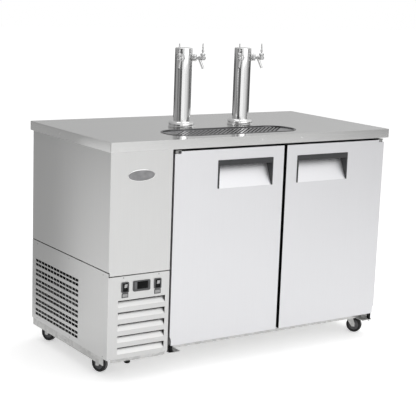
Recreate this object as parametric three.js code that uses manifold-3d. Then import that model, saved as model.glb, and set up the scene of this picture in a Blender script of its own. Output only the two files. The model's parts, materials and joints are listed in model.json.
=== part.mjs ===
// Kegerator: a two-door refrigerated beer dispenser with two columns, four taps and a side machine bay.
// Millimetres, +Z up. The front faces -Y and the origin is on the floor under the middle of the worktop.

import * as THREE from 'three';
import { mergeVertices } from 'three/addons/utils/BufferGeometryUtils.js';
import Module from 'manifold-3d';

const wasm = await Module();
wasm.setup();

// Driving sizes of the whole object

const seat = 0.3; // clearance between pieces that rest on each other
const overrun = 4; // how far a cutting shape runs past the face that it cuts
const sheet = 1.5; // thickness of the folded steel panels

const worktop = { width: 1468, depth: 750, height: 1000, thickness: 40, cornerRadius: 6 };
const casing = { sideInset: 3, frontInset: 5, backInset: 30, bottom: 97 };
const bay = { width: 291, seamHeight: 448, seamStep: 17, seamGap: 4, flange: 70 };
const doorSize = { thickness: 50, bottom: 117, topGap: 10, hingeGap: 10, middleGap: 16, rightGap: 21 };
const cabinet = { wall: 56, bayGap: 1, setback: 60, linerSheet: 1.2 };

const casingLeft = -worktop.width / 2 + casing.sideInset;
const casingRight = worktop.width / 2 - casing.sideInset;
const casingFront = -worktop.depth / 2 + casing.frontInset;
const casingBack = worktop.depth / 2 - casing.backInset;
const worktopUnder = worktop.height - worktop.thickness;
const bayRight = casingLeft + bay.width;

const doorTop = worktopUnder - doorSize.topGap;
const leftDoorLeft = bayRight + doorSize.hingeGap;
const rightDoorRight = casingRight - doorSize.rightGap;
const doorWidth = (rightDoorRight - leftDoorLeft - doorSize.middleGap) / 2;
const leftDoorRight = leftDoorLeft + doorWidth;
const rightDoorLeft = leftDoorRight + doorSize.middleGap;
const meetingX = (leftDoorRight + rightDoorLeft) / 2;

const shell = {
  left: bayRight + cabinet.bayGap,
  right: casingRight,
  front: casingFront + cabinet.setback,
  back: casingBack,
  bottom: casing.bottom + seat,
  top: worktopUnder - seat,
};
const chamber = {
  left: shell.left + cabinet.wall,
  right: shell.right - cabinet.wall,
  front: shell.front,
  back: shell.back - cabinet.wall,
  bottom: shell.bottom + cabinet.wall,
  top: shell.top - cabinet.wall,
};

// Finishes, as seen in the photograph

const finish = {
  steel: { color: 0xc9c9c8, roughness: 0.38, metalness: 0.85 },
  paleSteel: { color: 0xe4e4e6, roughness: 0.45, metalness: 0.6 },
  chrome: { color: 0xdadada, roughness: 0.08, metalness: 1 },
  galvanised: { color: 0xc4c4c4, roughness: 0.5, metalness: 0.8 },
  liner: { color: 0xd0d2d4, roughness: 0.4, metalness: 0.85 },
  darkPlastic: { color: 0x444547, roughness: 0.5, metalness: 0 },
  blackPlastic: { color: 0x1b1b1d, roughness: 0.35, metalness: 0 },
  blackRubber: { color: 0x1e1e1f, roughness: 0.8, metalness: 0 },
  greyRubber: { color: 0x8d8f91, roughness: 0.8, metalness: 0 },
  blackPaint: { color: 0x222326, roughness: 0.45, metalness: 0.2 },
  fins: { color: 0xb9bcbe, roughness: 0.5, metalness: 0.9 },
  foam: { color: 0x2b2c2e, roughness: 0.95, metalness: 0 },
};

// Helpers that make, join and cut closed shapes

function signedVolume(positions, triangles) {
  const corners = [new THREE.Vector3(), new THREE.Vector3(), new THREE.Vector3()];
  let total = 0;
  for (let i = 0; i < triangles.length; i += 3) {
    corners.forEach((corner, j) => corner.fromArray(positions, triangles[i + j] * 3));
    total += corners[0].dot(corners[1].cross(corners[2]));
  }
  return total;
}

function toSolid(geometry) {
  const bare = geometry.clone();
  bare.deleteAttribute('normal');
  bare.deleteAttribute('uv');
  const merged = mergeVertices(bare);
  const source = merged.index.array;
  const kept = [];
  for (let i = 0; i < source.length; i += 3) {
    const [a, b, c] = [source[i], source[i + 1], source[i + 2]];
    if (a !== b && b !== c && c !== a) kept.push(a, b, c);
  }
  const positions = merged.attributes.position.array;
  if (signedVolume(positions, kept) < 0) kept.reverse();
  const mesh = new wasm.Mesh({ numProp: 3, vertProperties: positions, triVerts: new Uint32Array(kept) });
  return new wasm.Manifold(mesh);
}

function toGeometry(solid) {
  const mesh = solid.getMesh();
  const geometry = new THREE.BufferGeometry();
  geometry.setAttribute('position', new THREE.BufferAttribute(mesh.vertProperties, 3));
  geometry.setIndex(new THREE.BufferAttribute(mesh.triVerts, 1));
  geometry.computeVertexNormals();
  return geometry;
}

function join(...geometries) {
  return toGeometry(geometries.map(toSolid).reduce((whole, piece) => whole.add(piece)));
}

function cut(geometry, ...tools) {
  return toGeometry(tools.map(toSolid).reduce((whole, tool) => whole.subtract(tool), toSolid(geometry)));
}

function block([x0, x1], [y0, y1], [z0, z1]) {
  const box = new THREE.BoxGeometry(x1 - x0, y1 - y0, z1 - z0);
  return box.translate((x0 + x1) / 2, (y0 + y1) / 2, (z0 + z1) / 2);
}

// A profile of [radius, height] pairs turned about the Z axis
function turned(profile, sides) {
  const points = profile.map(([radius, height]) => new THREE.Vector2(radius, height));
  return new THREE.LatheGeometry(points, sides).rotateX(Math.PI / 2);
}

function rod(radius, [z0, z1], sides) {
  return turned([[0, z0], [radius, z0], [radius, z1], [0, z1]], sides);
}

// A rod from one point to another
function strut(from, to, radius, sides) {
  const start = new THREE.Vector3(...from);
  const along = new THREE.Vector3(...to).sub(start);
  const upward = new THREE.Vector3(0, 0, 1);
  const turn = new THREE.Quaternion().setFromUnitVectors(upward, along.clone().normalize());
  return rod(radius, [0, along.length()], sides).applyQuaternion(turn).translate(...from);
}

function ring(inner, outer, [z0, z1], sides) {
  return turned([[inner, z0], [outer, z0], [outer, z1], [inner, z1], [inner, z0]], sides);
}

// A rounded rectangle in the XY plane
function roundedOutline([x0, x1], [y0, y1], radius) {
  const outline = new THREE.Shape();
  const quarter = Math.PI / 2;
  outline.absarc(x1 - radius, y1 - radius, radius, 0, quarter);
  outline.absarc(x0 + radius, y1 - radius, radius, quarter, 2 * quarter);
  outline.absarc(x0 + radius, y0 + radius, radius, 2 * quarter, 3 * quarter);
  outline.absarc(x1 - radius, y0 + radius, radius, 3 * quarter, 4 * quarter);
  return outline;
}

function slab(outline, [z0, z1], segments) {
  const options = { depth: z1 - z0, bevelEnabled: false, curveSegments: segments };
  return new THREE.ExtrudeGeometry(outline, options).translate(0, 0, z0);
}

// An outline given as [forward, up] pairs, extruded along X
function wedge(points, [x0, x1]) {
  const outline = new THREE.Shape(points.map(([y, z]) => new THREE.Vector2(y, z)));
  const prism = new THREE.ExtrudeGeometry(outline, { depth: x1 - x0, bevelEnabled: false });
  const axes = new THREE.Matrix4().makeBasis(
    new THREE.Vector3(0, 1, 0),
    new THREE.Vector3(0, 0, 1),
    new THREE.Vector3(1, 0, 0),
  );
  return prism.applyMatrix4(axes).translate(x0, 0, 0);
}

// An outline drawn in X and Z, extruded along Y
function plate(outline, [y0, y1], segments) {
  const options = { depth: y1 - y0, bevelEnabled: false, curveSegments: segments };
  return new THREE.ExtrudeGeometry(outline, options).rotateX(Math.PI / 2).translate(0, y1, 0);
}

function tube(points, radius, sides, steps) {
  const corners = points.map((point) => new THREE.Vector3(...point));
  const path = new THREE.CatmullRomCurve3(corners, false, 'centripetal');
  const section = new THREE.Shape();
  section.absarc(0, 0, radius, 0, Math.PI * 2);
  const options = { steps, extrudePath: path, curveSegments: sides };
  return new THREE.ExtrudeGeometry(section, options);
}

const kegerator = new THREE.Group();

function place(name, geometry, look, parent = kegerator) {
  const mesh = new THREE.Mesh(geometry, new THREE.MeshStandardMaterial(look));
  mesh.name = name;
  parent.add(mesh);
  return mesh;
}

function groupAt(x, y, z, turn = 0, parent = kegerator) {
  const group = new THREE.Group();
  group.position.set(x, y, z);
  group.rotation.z = turn;
  parent.add(group);
  return group;
}

// Base frame: a plate under the whole body with side skirts, a strip under the bay and a lip under the doors

const base = {
  plate: 3,
  skirtDrop: 30,
  skirtInset: 3,
  skirtFrontInset: 39,
  skirtBackInset: 5,
  stripInset: 31,
  stripDrop: 19,
  stripSetback: 22,
  lipDrop: 10,
};
const baseUnder = casing.bottom - base.plate;

function makeBaseFrame() {
  const left = casingLeft + base.skirtInset;
  const right = casingRight - base.skirtInset;
  const skirtY = [casingFront + base.skirtFrontInset, casingBack - base.skirtBackInset];
  const skirtZ = [baseUnder - base.skirtDrop, casing.bottom];
  const stripFront = casingFront + base.stripSetback;
  const strip = block(
    [casingLeft + base.stripInset, shell.left],
    [stripFront, stripFront + base.plate],
    [baseUnder - base.stripDrop, casing.bottom],
  );
  const lip = block(
    [shell.left, right],
    [shell.front - base.plate, shell.front],
    [baseUnder - base.lipDrop, casing.bottom],
  );
  const frame = join(
    block([left, right], [shell.front, casingBack], [baseUnder, casing.bottom]),
    block([left, shell.left], [stripFront, shell.front + base.plate], [baseUnder, casing.bottom]),
    block([left, left + base.plate], skirtY, skirtZ),
    block([right - base.plate, right], skirtY, skirtZ),
    strip,
    lip,
  );
  place('base_frame', frame, finish.galvanised);
}

// Worktop: a slab with the openings for the drip tray and the two columns

const tray = {
  left: 357, // from the left end of the worktop
  length: 672,
  front: 80, // from the front edge of the worktop
  depth: 200,
  cornerRadius: 90,
  rim: 7,
  rimThickness: 1.4,
  sink: 26,
  spigotRadius: 11,
  spigotBore: 8.5,
  spigotReach: 8,
  grilleDrop: 3,
  grilleSheet: 2,
  grilleGap: 0.8,
  slotPitch: 22,
  slotWidth: 7,
  slotLength: 186,
  slotMargin: 12,
  footRadius: 4,
  footInset: 55, // from the tray's ends
  cornerSides: 5,
};
const trayX = [-worktop.width / 2 + tray.left, -worktop.width / 2 + tray.left + tray.length];
const trayY = [-worktop.depth / 2 + tray.front, -worktop.depth / 2 + tray.front + tray.depth];
const trayMiddle = [(trayX[0] + trayX[1]) / 2, (trayY[0] + trayY[1]) / 2];

const tower = {
  trayInset: 194, // from the tray's left end to the first column
  pitch: 318,
  trayGap: 15,
  radius: 38.1,
  wall: 2,
  height: 350,
  edgeRadius: 3,
  flangeRadius: 60,
  flangeHeight: 28,
  flangeShoulder: 15,
  lineHole: 25,
  sides: 24,
  holeSides: 16,
};
const towerXs = [trayX[0] + tower.trayInset, trayX[0] + tower.trayInset + tower.pitch];
const towerY = trayY[1] + tower.trayGap + tower.flangeRadius;

// The tray's outline, drawn in from its rim by a margin
function trayOutline(margin) {
  const across = [trayX[0] + margin, trayX[1] - margin];
  const along = [trayY[0] + margin, trayY[1] - margin];
  return roundedOutline(across, along, tray.cornerRadius - margin);
}

function makeWorktop() {
  const halfWidth = worktop.width / 2;
  const halfDepth = worktop.depth / 2;
  const outline = roundedOutline([-halfWidth, halfWidth], [-halfDepth, halfDepth], worktop.cornerRadius);
  const through = [worktopUnder - overrun, worktop.height + overrun];
  const holes = towerXs.map((x) => rod(tower.lineHole, through, tower.holeSides).translate(x, towerY, 0));
  const top = slab(outline, [worktopUnder, worktop.height], 2);
  const trayHole = slab(trayOutline(tray.rim), through, tray.cornerSides);
  place('worktop', cut(top, trayHole, ...holes), finish.steel);
}

function makeDripTray() {
  const floor = worktop.height - tray.sink;
  const rimZ = [worktop.height + seat, worktop.height + seat + tray.rimThickness];
  const wall = tray.rim + tray.grilleGap;
  const inside = wall + tray.rimThickness;
  const pan = join(
    slab(trayOutline(0), rimZ, tray.cornerSides),
    slab(trayOutline(wall), [floor, rimZ[1]], tray.cornerSides),
  );
  const spigotEnd = chamber.top - tray.spigotReach;
  const spigot = rod(tray.spigotRadius, [spigotEnd, floor + tray.rimThickness], 16);
  const hollow = slab(trayOutline(inside), [floor + tray.rimThickness, rimZ[1] + overrun], tray.cornerSides);
  const bore = rod(tray.spigotBore, [spigotEnd - overrun, worktop.height], 16);
  const drained = cut(pan, hollow);
  const whole = join(drained, spigot.translate(...trayMiddle, 0));
  place('drip_tray_pan', cut(whole, bore.translate(...trayMiddle, 0)), finish.chrome);
}

function makeDripGrille() {
  const edge = tray.rim + tray.grilleGap * 2 + tray.rimThickness;
  const top = worktop.height - tray.grilleDrop;
  const plateUnder = top - tray.grilleSheet;
  const whole = slab(trayOutline(edge), [plateUnder, top], tray.cornerSides);
  const slots = [];
  const reach = tray.length / 2 - tray.cornerRadius / 2 - tray.slotMargin;
  const count = Math.floor(reach / tray.slotPitch);
  for (let i = -count; i <= count; i += 1) {
    const slot = block(
      [-tray.slotWidth / 2, tray.slotWidth / 2],
      [-tray.slotLength / 2, tray.slotLength / 2],
      [plateUnder - overrun, top + overrun],
    );
    slots.push(slot.rotateZ(-Math.PI / 4).translate(trayMiddle[0] + i * tray.slotPitch, trayMiddle[1], 0));
  }
  const footZ = [worktop.height - tray.sink + tray.rimThickness + seat, plateUnder + seat];
  const feet = [[-1, -1], [1, -1], [1, 1], [-1, 1]].map(([i, j]) => {
    const x = trayMiddle[0] + i * (tray.length / 2 - tray.footInset);
    const y = trayMiddle[1] + j * (tray.depth / 4);
    return rod(tray.footRadius, footZ, 12).translate(x, y, 0);
  });
  place('drip_grille', join(cut(whole, ...slots), ...feet), finish.steel);
}

// Insulated cabinet, its liner and the post between the doors

const mullion = { width: 96, depth: 34 };
const service = { lineHole: 12, backGap: 109, drop: 134 };
const serviceY = chamber.back - service.backGap;
const serviceZ = chamber.top - service.drop;

function makeCabinet() {
  const outer = block([shell.left, shell.right], [shell.front, shell.back], [shell.bottom, shell.top]);
  const inner = block(
    [chamber.left, chamber.right],
    [chamber.front - overrun, chamber.back],
    [chamber.bottom, chamber.top],
  );
  const ceiling = [chamber.top - overrun, shell.top + overrun];
  const wallX = [shell.left - overrun, chamber.left + overrun];
  const holes = ceilingHoles(ceiling, tower.lineHole, tray.spigotRadius + 2 * seat);
  const lineHole = strutAlongX(wallX, service.lineHole);
  place('cabinet_shell', cut(outer, inner, lineHole, ...holes), finish.steel);
}

function ceilingHoles(span, lineRadius, spigotRadius) {
  const holes = towerXs.map((x) => rod(lineRadius, span, tower.holeSides).translate(x, towerY, 0));
  holes.push(rod(spigotRadius, span, 16).translate(...trayMiddle, 0));
  return holes;
}

function strutAlongX([x0, x1], radius) {
  return strut([x0, serviceY, serviceZ], [x1, serviceY, serviceZ], radius, 12);
}

function makeLiner() {
  const gap = seat;
  const outer = block(
    [chamber.left + gap, chamber.right - gap],
    [chamber.front, chamber.back - gap],
    [chamber.bottom + gap, chamber.top - gap],
  );
  const skin = gap + cabinet.linerSheet;
  const inner = block(
    [chamber.left + skin, chamber.right - skin],
    [chamber.front - overrun, chamber.back - skin],
    [chamber.bottom + skin, chamber.top - skin],
  );
  const ceiling = [chamber.top - skin - overrun, chamber.top + overrun];
  const holes = ceilingHoles(ceiling, tower.lineHole, tray.spigotRadius + 2 * seat);
  const lineHole = strutAlongX([chamber.left - overrun, chamber.left + overrun], service.lineHole);
  place('inner_liner', cut(outer, inner, lineHole, ...holes), finish.liner);
}

function makeMullion() {
  const skin = 2 * seat + cabinet.linerSheet;
  const post = block(
    [meetingX - mullion.width / 2, meetingX + mullion.width / 2],
    [shell.front, shell.front + mullion.depth],
    [chamber.bottom + skin, chamber.top - skin],
  );
  place('centre_mullion', post, finish.steel);
}

// Machine bay panels

const louvre = { count: 5, left: 48, width: 224, top: 249, pitch: 50, height: 29, depth: 14, mouth: 8 };
const vent = {
  front: 266, // from the front edge of the worktop
  length: 421,
  top: 381,
  pairs: 6,
  pairPitch: 46,
  rowPitch: 18.5,
  slotHeight: 12,
  slotsPerRow: 7,
  bridge: 4,
};
const controls = {
  switchWidth: 34,
  switchHeight: 45,
  switchMiddleZ: 400.5,
  firstSwitchX: 82, // from the left end of the worktop
  secondSwitchX: 237,
  controllerX: 160,
  controllerWidth: 81,
  controllerHeight: 45,
  bezel: 3.2,
  bezelRadius: 6,
  bodyInset: 3.5,
  switchBody: 26,
  controllerBody: 52,
  windowInset: 9,
  windowKeyStrip: 15,
  windowDepth: 1,
};

function bayAcross(fromLeftEnd) {
  return -worktop.width / 2 + fromLeftEnd;
}

// A folded panel that covers the bay's front and left side and returns along its right side
function foldedPanel(frontZ, sideZ) {
  return join(
    block([casingLeft, bayRight], [casingFront, casingFront + sheet], frontZ),
    block([casingLeft, casingLeft + sheet], [casingFront, casingBack], sideZ),
    block([bayRight - sheet, bayRight], [casingFront, casingFront + bay.flange], frontZ),
  );
}

// The seam between the two panels lies higher on the side than on the front
const sideSeam = bay.seamHeight + bay.seamStep;

function makeUpperPanel() {
  const top = worktopUnder - seat;
  const folded = foldedPanel([bay.seamHeight + bay.seamGap, top], [sideSeam + bay.seamGap, top]);
  const corner = block(
    [casingLeft - overrun, casingLeft + sheet + bay.seamGap],
    [casingFront - overrun, casingFront + sheet + overrun],
    [bay.seamHeight, sideSeam + bay.seamGap],
  );
  place('upper_bay_panel', cut(folded, corner), finish.steel);
}

function controlCutout(middleX, width, height) {
  const halfWidth = width / 2 - controls.bodyInset + seat;
  const halfHeight = height / 2 - controls.bodyInset + seat;
  return block(
    [middleX - halfWidth, middleX + halfWidth],
    [casingFront - overrun, casingFront + sheet + overrun],
    [controls.switchMiddleZ - halfHeight, controls.switchMiddleZ + halfHeight],
  );
}

// One louvre: the window that is cut and the blade that slopes in from its lower edge
function louvreParts(index) {
  const x = [casingLeft + louvre.left, casingLeft + louvre.left + louvre.width];
  const top = casing.bottom + louvre.top - index * louvre.pitch;
  const bottom = top - louvre.height;
  const window = block(x, [casingFront - overrun, casingFront + sheet + overrun], [bottom, top]);
  const bladeTop = top - louvre.mouth;
  const blade = wedge([
    [casingFront, bottom],
    [casingFront + sheet, bottom - sheet],
    [casingFront + sheet + louvre.depth, bladeTop],
    [casingFront + louvre.depth, bladeTop],
  ], [x[0] + seat, x[1] - seat]);
  return { window, blade };
}

function sideSlots() {
  const slots = [];
  const pitch = vent.length / vent.slotsPerRow;
  const front = -worktop.depth / 2 + vent.front;
  for (let pair = 0; pair < vent.pairs; pair += 1) {
    for (let row = 0; row < 2; row += 1) {
      const top = vent.top - pair * vent.pairPitch - row * vent.rowPitch;
      for (let i = 0; i < vent.slotsPerRow; i += 1) {
        slots.push(block(
          [casingLeft - overrun, casingLeft + sheet + overrun],
          [front + i * pitch, front + (i + 1) * pitch - vent.bridge],
          [top - vent.slotHeight, top],
        ));
      }
    }
  }
  return slots;
}

function makeLowerCover() {
  const bottom = casing.bottom + seat;
  const folded = foldedPanel([bottom, bay.seamHeight], [bottom, sideSeam]);
  const louvres = Array.from({ length: louvre.count }, (unused, index) => louvreParts(index));
  const cutouts = [
    controlCutout(bayAcross(controls.firstSwitchX), controls.switchWidth, controls.switchHeight),
    controlCutout(bayAcross(controls.secondSwitchX), controls.switchWidth, controls.switchHeight),
    controlCutout(bayAcross(controls.controllerX), controls.controllerWidth, controls.controllerHeight),
  ];
  const opened = cut(folded, ...louvres.map((each) => each.window), ...cutouts, ...sideSlots());
  place('lower_vent_cover', join(opened, ...louvres.map((each) => each.blade)), finish.steel);
}

const backPanel = { vents: 8, ventPitch: 24, ventHeight: 8, ventMargin: 60, ventBottom: 260 };
const gland = { x: 60, z: 170, bodyRadius: 9, bore: 4.5, headRadius: 15, headLength: 6, tailLength: 10 };

function makeBackPanel() {
  const inner = [casingLeft + sheet + seat, shell.left - seat];
  const y = [casingBack - sheet, casingBack];
  const panel = block(inner, y, [casing.bottom + seat, worktopUnder - seat]);
  const tools = [];
  for (let i = 0; i < backPanel.vents; i += 1) {
    const bottom = backPanel.ventBottom + i * backPanel.ventPitch;
    tools.push(block(
      [inner[0] + backPanel.ventMargin, inner[1] - backPanel.ventMargin],
      [y[0] - overrun, y[1] + overrun],
      [bottom, bottom + backPanel.ventHeight],
    ));
  }
  const glandX = inner[0] + gland.x;
  tools.push(strut(
    [glandX, y[0] - overrun, gland.z],
    [glandX, y[1] + overrun, gland.z],
    gland.bodyRadius + seat,
    16,
  ));
  place('bay_back_panel', cut(panel, ...tools), finish.galvanised);
  const profile = [
    [gland.bore, -gland.tailLength],
    [gland.bodyRadius, -gland.tailLength],
    [gland.bodyRadius, sheet + seat],
    [gland.headRadius, sheet + seat],
    [gland.headRadius - sheet, sheet + seat + gland.headLength],
    [gland.bore, sheet + seat + gland.headLength],
    [gland.bore, -gland.tailLength],
  ];
  const outward = turned(profile, 16).rotateX(-Math.PI / 2).translate(glandX, y[0], gland.z);
  place('cord_gland', outward, finish.blackPlastic);
}

const badge = { x: 146, drop: 99, width: 127, height: 48, thickness: 2 };

function makeBadge() {
  const outline = new THREE.Shape();
  const z = worktopUnder - badge.drop;
  outline.absellipse(bayAcross(badge.x), z, badge.width / 2, badge.height / 2, 0, Math.PI * 2);
  const back = casingFront - seat;
  place('badge_plate', plate(outline, [back - badge.thickness, back], 16), finish.blackPlastic);
}

// Switches and thermostat

const rocker = {
  width: 23.4,
  height: 33,
  thickness: 10,
  pivotDepth: 6.5,
  tilt: 9,
  pocketDepth: 15.5,
  sideGap: 0.3,
  endGap: 1.5,
};

function bezelPlate(halfWidth, halfHeight) {
  const outline = roundedOutline([-halfWidth, halfWidth], [-halfHeight, halfHeight], controls.bezelRadius);
  return plate(outline, [-controls.bezel - seat, -seat], 3);
}

function controlHousing(width, height, depth) {
  const bodyHalfWidth = width / 2 - controls.bodyInset;
  const bodyHalfHeight = height / 2 - controls.bodyInset;
  const inside = block(
    [-bodyHalfWidth, bodyHalfWidth],
    [-seat - sheet, depth],
    [-bodyHalfHeight, bodyHalfHeight],
  );
  return join(bezelPlate(width / 2, height / 2), inside);
}

function makeSwitch(side, x) {
  const spot = groupAt(x, casingFront, controls.switchMiddleZ);
  const halfWidth = rocker.width / 2 + rocker.sideGap;
  const halfHeight = rocker.height / 2 + rocker.endGap;
  const mouth = -controls.bezel - seat;
  const pocket = block(
    [-halfWidth, halfWidth],
    [mouth - overrun, mouth + rocker.pocketDepth],
    [-halfHeight, halfHeight],
  );
  const housing = controlHousing(controls.switchWidth, controls.switchHeight, controls.switchBody);
  place(`${side}_switch_housing`, cut(housing, pocket), finish.blackPlastic, spot);
  const half = rocker.thickness / 2;
  const tip = rocker.height / 2;
  const dish = rocker.thickness * Math.tan(THREE.MathUtils.degToRad(rocker.tilt));
  const body = wedge([
    [half, -tip],
    [half, tip],
    [-half, tip],
    [-half + dish, 0],
    [-half, -tip],
  ], [-rocker.width / 2, rocker.width / 2]);
  const mesh = place(`${side}_rocker`, body, finish.blackPlastic, spot);
  mesh.position.y = mouth + rocker.pivotDepth;
  mesh.rotation.x = THREE.MathUtils.degToRad(rocker.tilt);
}

function makeController() {
  const spot = groupAt(bayAcross(controls.controllerX), casingFront, controls.switchMiddleZ);
  const width = controls.controllerWidth;
  const height = controls.controllerHeight;
  const mouth = -controls.bezel - seat;
  const window = block(
    [-width / 2 + controls.windowInset + controls.windowKeyStrip, width / 2 - controls.windowInset],
    [mouth - overrun, mouth + controls.windowDepth],
    [-height / 2 + controls.windowInset, height / 2 - controls.windowInset],
  );
  const housing = controlHousing(width, height, controls.controllerBody);
  place('controller_housing', cut(housing, window), finish.darkPlastic, spot);
}

// Hinges: the axis lies inside each door's outer front corner

const hinge = {
  inset: 14,
  pinRadius: 4,
  pinReach: 18,
  pinGap: 0.4,
  knuckleRadius: 12,
  plate: 3.5,
  notchWidth: 30,
  topNotch: 10,
  lowNotchWidth: 7,
  lowNotch: 26,
  lowNotchSlope: 16,
  armWidth: 34,
  lowArmWidth: 59,
  lowDrop: 33, // from the door's bottom to the underside of the lower bracket
  bossRadius: 9,
  gussetX: 11,
  gussetRise: 5,
  flange: 16,
  flangeSheet: 2.5,
  sideMargin: 4,
};
const hingeY = casingFront + hinge.inset;

// A bracket in its own frame: the pin at the origin, +X towards the door's free edge
function topBracket() {
  const plateZ = [seat * 2, seat * 2 + hinge.plate];
  const arm = [-hinge.inset + hinge.sideMargin, -hinge.inset + hinge.armWidth];
  const wallY = shell.front - hingeY - seat;
  return join(
    rod(hinge.knuckleRadius, [-hinge.topNotch + seat, plateZ[1]], 16),
    rod(hinge.pinRadius, [-hinge.topNotch - hinge.pinReach, 0], 12),
    block(arm, [-hinge.knuckleRadius, wallY], plateZ),
    block(arm, [wallY - hinge.flangeSheet, wallY], [plateZ[1] - hinge.flange, plateZ[1]]),
  );
}

// The lower bracket's plate stops in front of the base frame's lip and a gusset ties it to the wall
function lowBracket() {
  const plateZ = [-hinge.lowDrop, -hinge.lowDrop + hinge.plate];
  const arm = [-hinge.inset + hinge.sideMargin, -hinge.inset + hinge.lowArmWidth];
  const front = -hinge.knuckleRadius;
  const wallY = shell.front - hingeY - seat;
  const lipY = wallY - base.plate;
  const lipTop = casing.bottom - doorSize.bottom + seat;
  const gusset = [
    [wallY, hinge.gussetRise],
    [front, plateZ[1]],
    [front, plateZ[0]],
    [lipY, plateZ[0]],
    [lipY, lipTop],
    [wallY, lipTop],
  ];
  return join(
    rod(hinge.bossRadius, [plateZ[0], -seat], 16),
    rod(hinge.pinRadius, [plateZ[0], hinge.pinReach], 12),
    block(arm, [front, lipY], plateZ),
    block(arm, [wallY - hinge.flangeSheet, wallY], [lipTop, -seat * 2]),
    wedge(gusset, [hinge.gussetX, hinge.gussetX + hinge.plate]),
  );
}

// Doors: built in the hinge's frame, +X towards the free edge for the left door

const scoop = { width: 288, edgeMargin: 58, topInset: 48, height: 122, bar: 24, depth: 50, roof: 4, lip: 12 };
const scoopTop = doorTop - scoop.topInset;
const scoopBottom = scoopTop - scoop.height;
const handle = { proud: 2.2, cheek: 7, gap: 0.3 };
const gasket = { inset: 15, width: 18 };

const mirrored = { left: 1, right: -1 };

function hingeX(side) {
  return side === 'left' ? leftDoorLeft + hinge.inset : rightDoorRight - hinge.inset;
}

// The left door's shapes are mirrored for the right door
function handed(geometry, side) {
  return mirrored[side] === 1 ? geometry : toGeometry(toSolid(geometry.clone().scale(-1, 1, 1)));
}

function doorNotches() {
  const outer = -hinge.inset;
  const front = -hinge.inset;
  const y = [front - overrun, front + doorSize.thickness + overrun];
  const topNotch = block(
    [outer - overrun, outer + hinge.notchWidth],
    y,
    [doorTop - hinge.topNotch, doorTop + overrun],
  );
  const low = doorSize.bottom;
  const outline = new THREE.Shape();
  outline.moveTo(outer - overrun, low - overrun);
  outline.lineTo(outer + hinge.lowNotchWidth, low - overrun);
  outline.lineTo(outer + hinge.lowNotchWidth, low + hinge.lowNotch);
  outline.lineTo(outer, low + hinge.lowNotch + hinge.lowNotchSlope);
  outline.lineTo(outer - overrun, low + hinge.lowNotch + hinge.lowNotchSlope);
  const bore = hinge.pinRadius + hinge.pinGap;
  const topBore = [doorTop - hinge.topNotch - hinge.pinReach - seat, doorTop];
  const lowBore = [low - overrun, low + hinge.pinReach + seat];
  return [topNotch, plate(outline, y, 1), rod(bore, topBore, 12), rod(bore, lowBore, 12)];
}

function scoopSpan() {
  const free = doorWidth - hinge.inset;
  return [free - scoop.edgeMargin - scoop.width, free - scoop.edgeMargin];
}

function doorBody() {
  const front = -hinge.inset;
  const whole = block(
    [-hinge.inset, doorWidth - hinge.inset],
    [front, front + doorSize.thickness],
    [doorSize.bottom, doorTop],
  );
  const back = front + scoop.depth - scoop.roof;
  const pocket = wedge([
    [front - overrun, scoopBottom],
    [front, scoopBottom],
    [back, scoopTop - scoop.bar],
    [back, scoopTop],
    [front - overrun, scoopTop],
  ], scoopSpan());
  return cut(whole, pocket, ...doorNotches());
}

function doorHandle() {
  const front = -hinge.inset;
  const gap = handle.gap;
  const back = front + scoop.depth - scoop.roof - gap;
  const span = scoopSpan();
  const x = [span[0] + gap, span[1] - gap];
  const proud = front - handle.proud;
  const top = scoopTop - gap;
  const barFoot = scoopTop - scoop.bar;
  const cheek = [
    [proud, scoopBottom + gap * 2],
    [front, scoopBottom + gap * 2],
    [back, barFoot + gap * 2],
    [back, top],
    [proud, top],
  ];
  return join(
    wedge(cheek, [x[0], x[0] + handle.cheek]),
    wedge(cheek, [x[1] - handle.cheek, x[1]]),
    block(x, [proud, front + scoop.lip], [barFoot, top]),
    block(x, [proud, back], [top - scoop.roof, top]),
  );
}

function doorGasket() {
  const back = -hinge.inset + doorSize.thickness;
  const wallY = shell.front - hingeY;
  const left = -hinge.inset + gasket.inset;
  const right = doorWidth - hinge.inset - gasket.inset;
  const z = [doorSize.bottom + gasket.inset, doorTop - gasket.inset];
  const y = [back + seat, wallY - seat];
  const inner = block(
    [left + gasket.width, right - gasket.width],
    [y[0] - overrun, y[1] + overrun],
    [z[0] + gasket.width, z[1] - gasket.width],
  );
  return cut(block([left, right], y, z), inner);
}

function makeDoor(side) {
  const pivot = groupAt(hingeX(side), hingeY, 0);
  place(`${side}_door_body`, handed(doorBody(), side), finish.paleSteel, pivot);
  place(`${side}_door_handle`, handed(doorHandle(), side), finish.darkPlastic, pivot);
  place(`${side}_door_gasket`, handed(doorGasket(), side), finish.greyRubber, pivot);
  const top = groupAt(hingeX(side), hingeY, doorTop);
  place(`${side}_top_hinge`, handed(topBracket(), side), finish.galvanised, top);
  const low = groupAt(hingeX(side), hingeY, doorSize.bottom);
  place(`${side}_bottom_hinge`, handed(lowBracket(), side), finish.galvanised, low);
}

// Beer columns with their flanges, lines and taps

const tap = {
  drop: 41,
  angle: 45,
  shankRadius: 8,
  boreGap: 0.6,
  shankInner: 22,
  collarRadius: 15,
  collarLength: 20,
  collarEdge: 3,
  neckRadius: 8,
  barrelRadius: 10,
  barrelStart: 70,
  barrelEnd: 98,
  bonnetReach: 86,
  bonnetHeight: 20,
  bonnetRadius: 10,
  socketRadius: 6.9,
  socketDepth: 11,
  spoutReach: 69,
  spoutRadius: 6.2,
  spoutBore: 4.4,
  spoutDrop: 46,
  spoutLean: 20,
  spoutBoreDepth: 16,
  ballRadius: 6.5,
  pivotDepth: 4,
  leverHeight: 48,
  sides: 12,
  spoutSides: 8,
};
const tapHeight = tower.height - tap.drop;

const lever = {
  stem: 3.2,
  ferrule: 5.4,
  waist: 2.8,
  knob: 4,
  tip: 3,
  ferruleFootShare: 0.2,
  ferruleTopShare: 0.4,
  waistShare: 0.55,
  knobShare: 0.66,
  neckShare: 0.76,
  sides: 10,
};

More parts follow.
